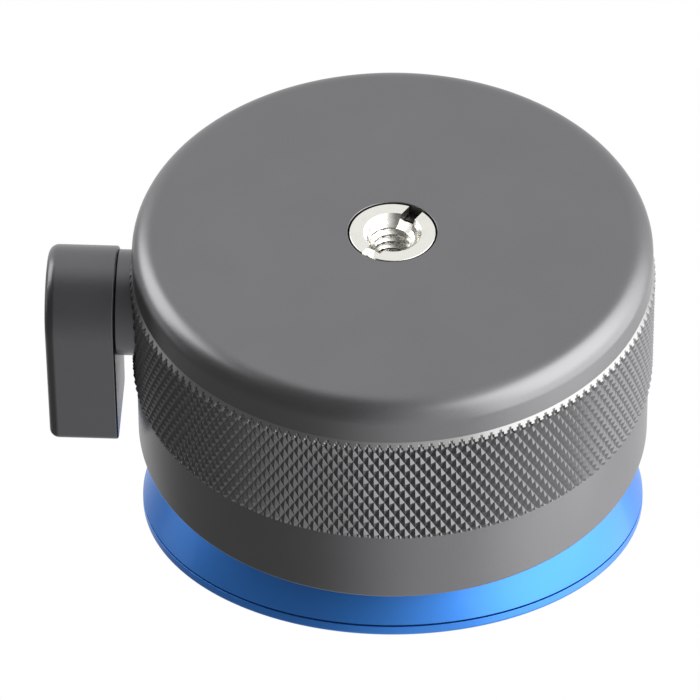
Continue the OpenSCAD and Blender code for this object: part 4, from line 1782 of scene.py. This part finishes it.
@dataclass
class Studio:
    """Pale floor, even surroundings, soft boxes and a dark curtain.

    Attributes:
        around: Radiance of the surroundings for the light that falls in.
        floor_half: Half the floor's width in millimetres.
        floor_z: Height of the floor in millimetres.
        floor_fade: Distances from Z in metres between which the floor fades out.
        boxes: The soft boxes.
        curtain: The dark curtain.
    """

    around: float = 0.85
    floor_half: float = 2500.0
    floor_z: float = -0.1
    floor_fade: tuple[float, float] = (0.25, 1.3)
    boxes: tuple[SoftBox, ...] = (
        SoftBox("soft_box_wide", 80, 9, (46, 50), 1.9),
        SoftBox("soft_box_core", 78, 30, (28, 30), 1.2, 1.3),
        SoftBox("soft_box_back", -119, 28, (18, 22), 3.3, 1.5),
        SoftBox("soft_box_low", -106, -9, (11, 9), 0.8, 1.3),
    )
    curtain: DarkCurtain = DarkCurtain(-135, -1)

    def world(self) -> None:
        """Sets the world: white for what the camera, gloss and glass see, `around` for other light."""
        world = bpy.data.worlds.new("studio")
        world.use_nodes = True
        tree = world.node_tree
        tree.nodes.clear()
        path = tree.nodes.new("ShaderNodeLightPath")
        seen = path.outputs["Is Camera Ray"]
        for other in ("Is Glossy Ray", "Is Transmission Ray"):
            most = tree.nodes.new("ShaderNodeMath")
            most.operation = "MAXIMUM"
            tree.links.new(seen, most.inputs[0])
            tree.links.new(path.outputs[other], most.inputs[1])
            seen = most.outputs[0]
        level = tree.nodes.new("ShaderNodeMapRange")
        level.inputs[3].default_value, level.inputs[4].default_value = self.around, 1.0
        tree.links.new(seen, level.inputs[0])
        light = tree.nodes.new("ShaderNodeBackground")
        light.inputs["Color"].default_value = (1, 1, 1, 1)
        tree.links.new(level.outputs[0], light.inputs["Strength"])
        end = tree.nodes.new("ShaderNodeOutputWorld")
        tree.links.new(light.outputs[0], end.inputs[0])
        bpy.context.scene.world = world

    def floor(self) -> None:
        """Makes a pale floor that takes the object's shadow, seen from above only and fading far out."""
        corners = np.array([[-1, -1, 0], [1, -1, 0], [1, 1, 0], [-1, 1, 0]]) * self.floor_half
        floor = mesh_object("floor", Skin(corners + (0, 0, self.floor_z), np.array([[0, 1, 2, 3]])))
        g = Graph("pale_floor")
        g.set(Base_Color=(0.86, 0.86, 0.85, 1.0), Roughness=0.7)
        at = g.place()
        g.set(Normal=g.bump(g.noise(at, 1.5, 3), 0.02, 0.3))
        below = g.node("ShaderNodeNewGeometry").outputs["Backfacing"]
        far = g.range(g.radius(at), *self.floor_fade, 0, 1)
        g.mix_surface(g.math("MAXIMUM", below, far), g.shader.outputs[0], g.clear())
        floor.data.materials.append(g.material)
        hide_from(floor, "shadow", "diffuse", "glossy", "transmission")

    def build(self) -> None:
        """Sets up the world, the floor, the soft boxes and the curtain."""
        self.world()
        self.floor()
        for box in self.boxes:
            box.build()
        self.curtain.build()


# ---------------------------------------------------------------- making


def main() -> None:
    """Builds the levelling base and its studio, in order, and reports each piece."""
    logging.basicConfig(level=logging.INFO, format="%(name)s %(message)s", force=True)
    bpy.context.scene.view_settings.view_transform = "Standard"
    Camera().build()
    Studio().build()
    for part in (Housing(), ReducingInsert(), LeverSide(), Clamp(), SeatRing(), Liner(), Platform()):
        part.build()
        part.report()


if __name__ == "__main__":
    main()
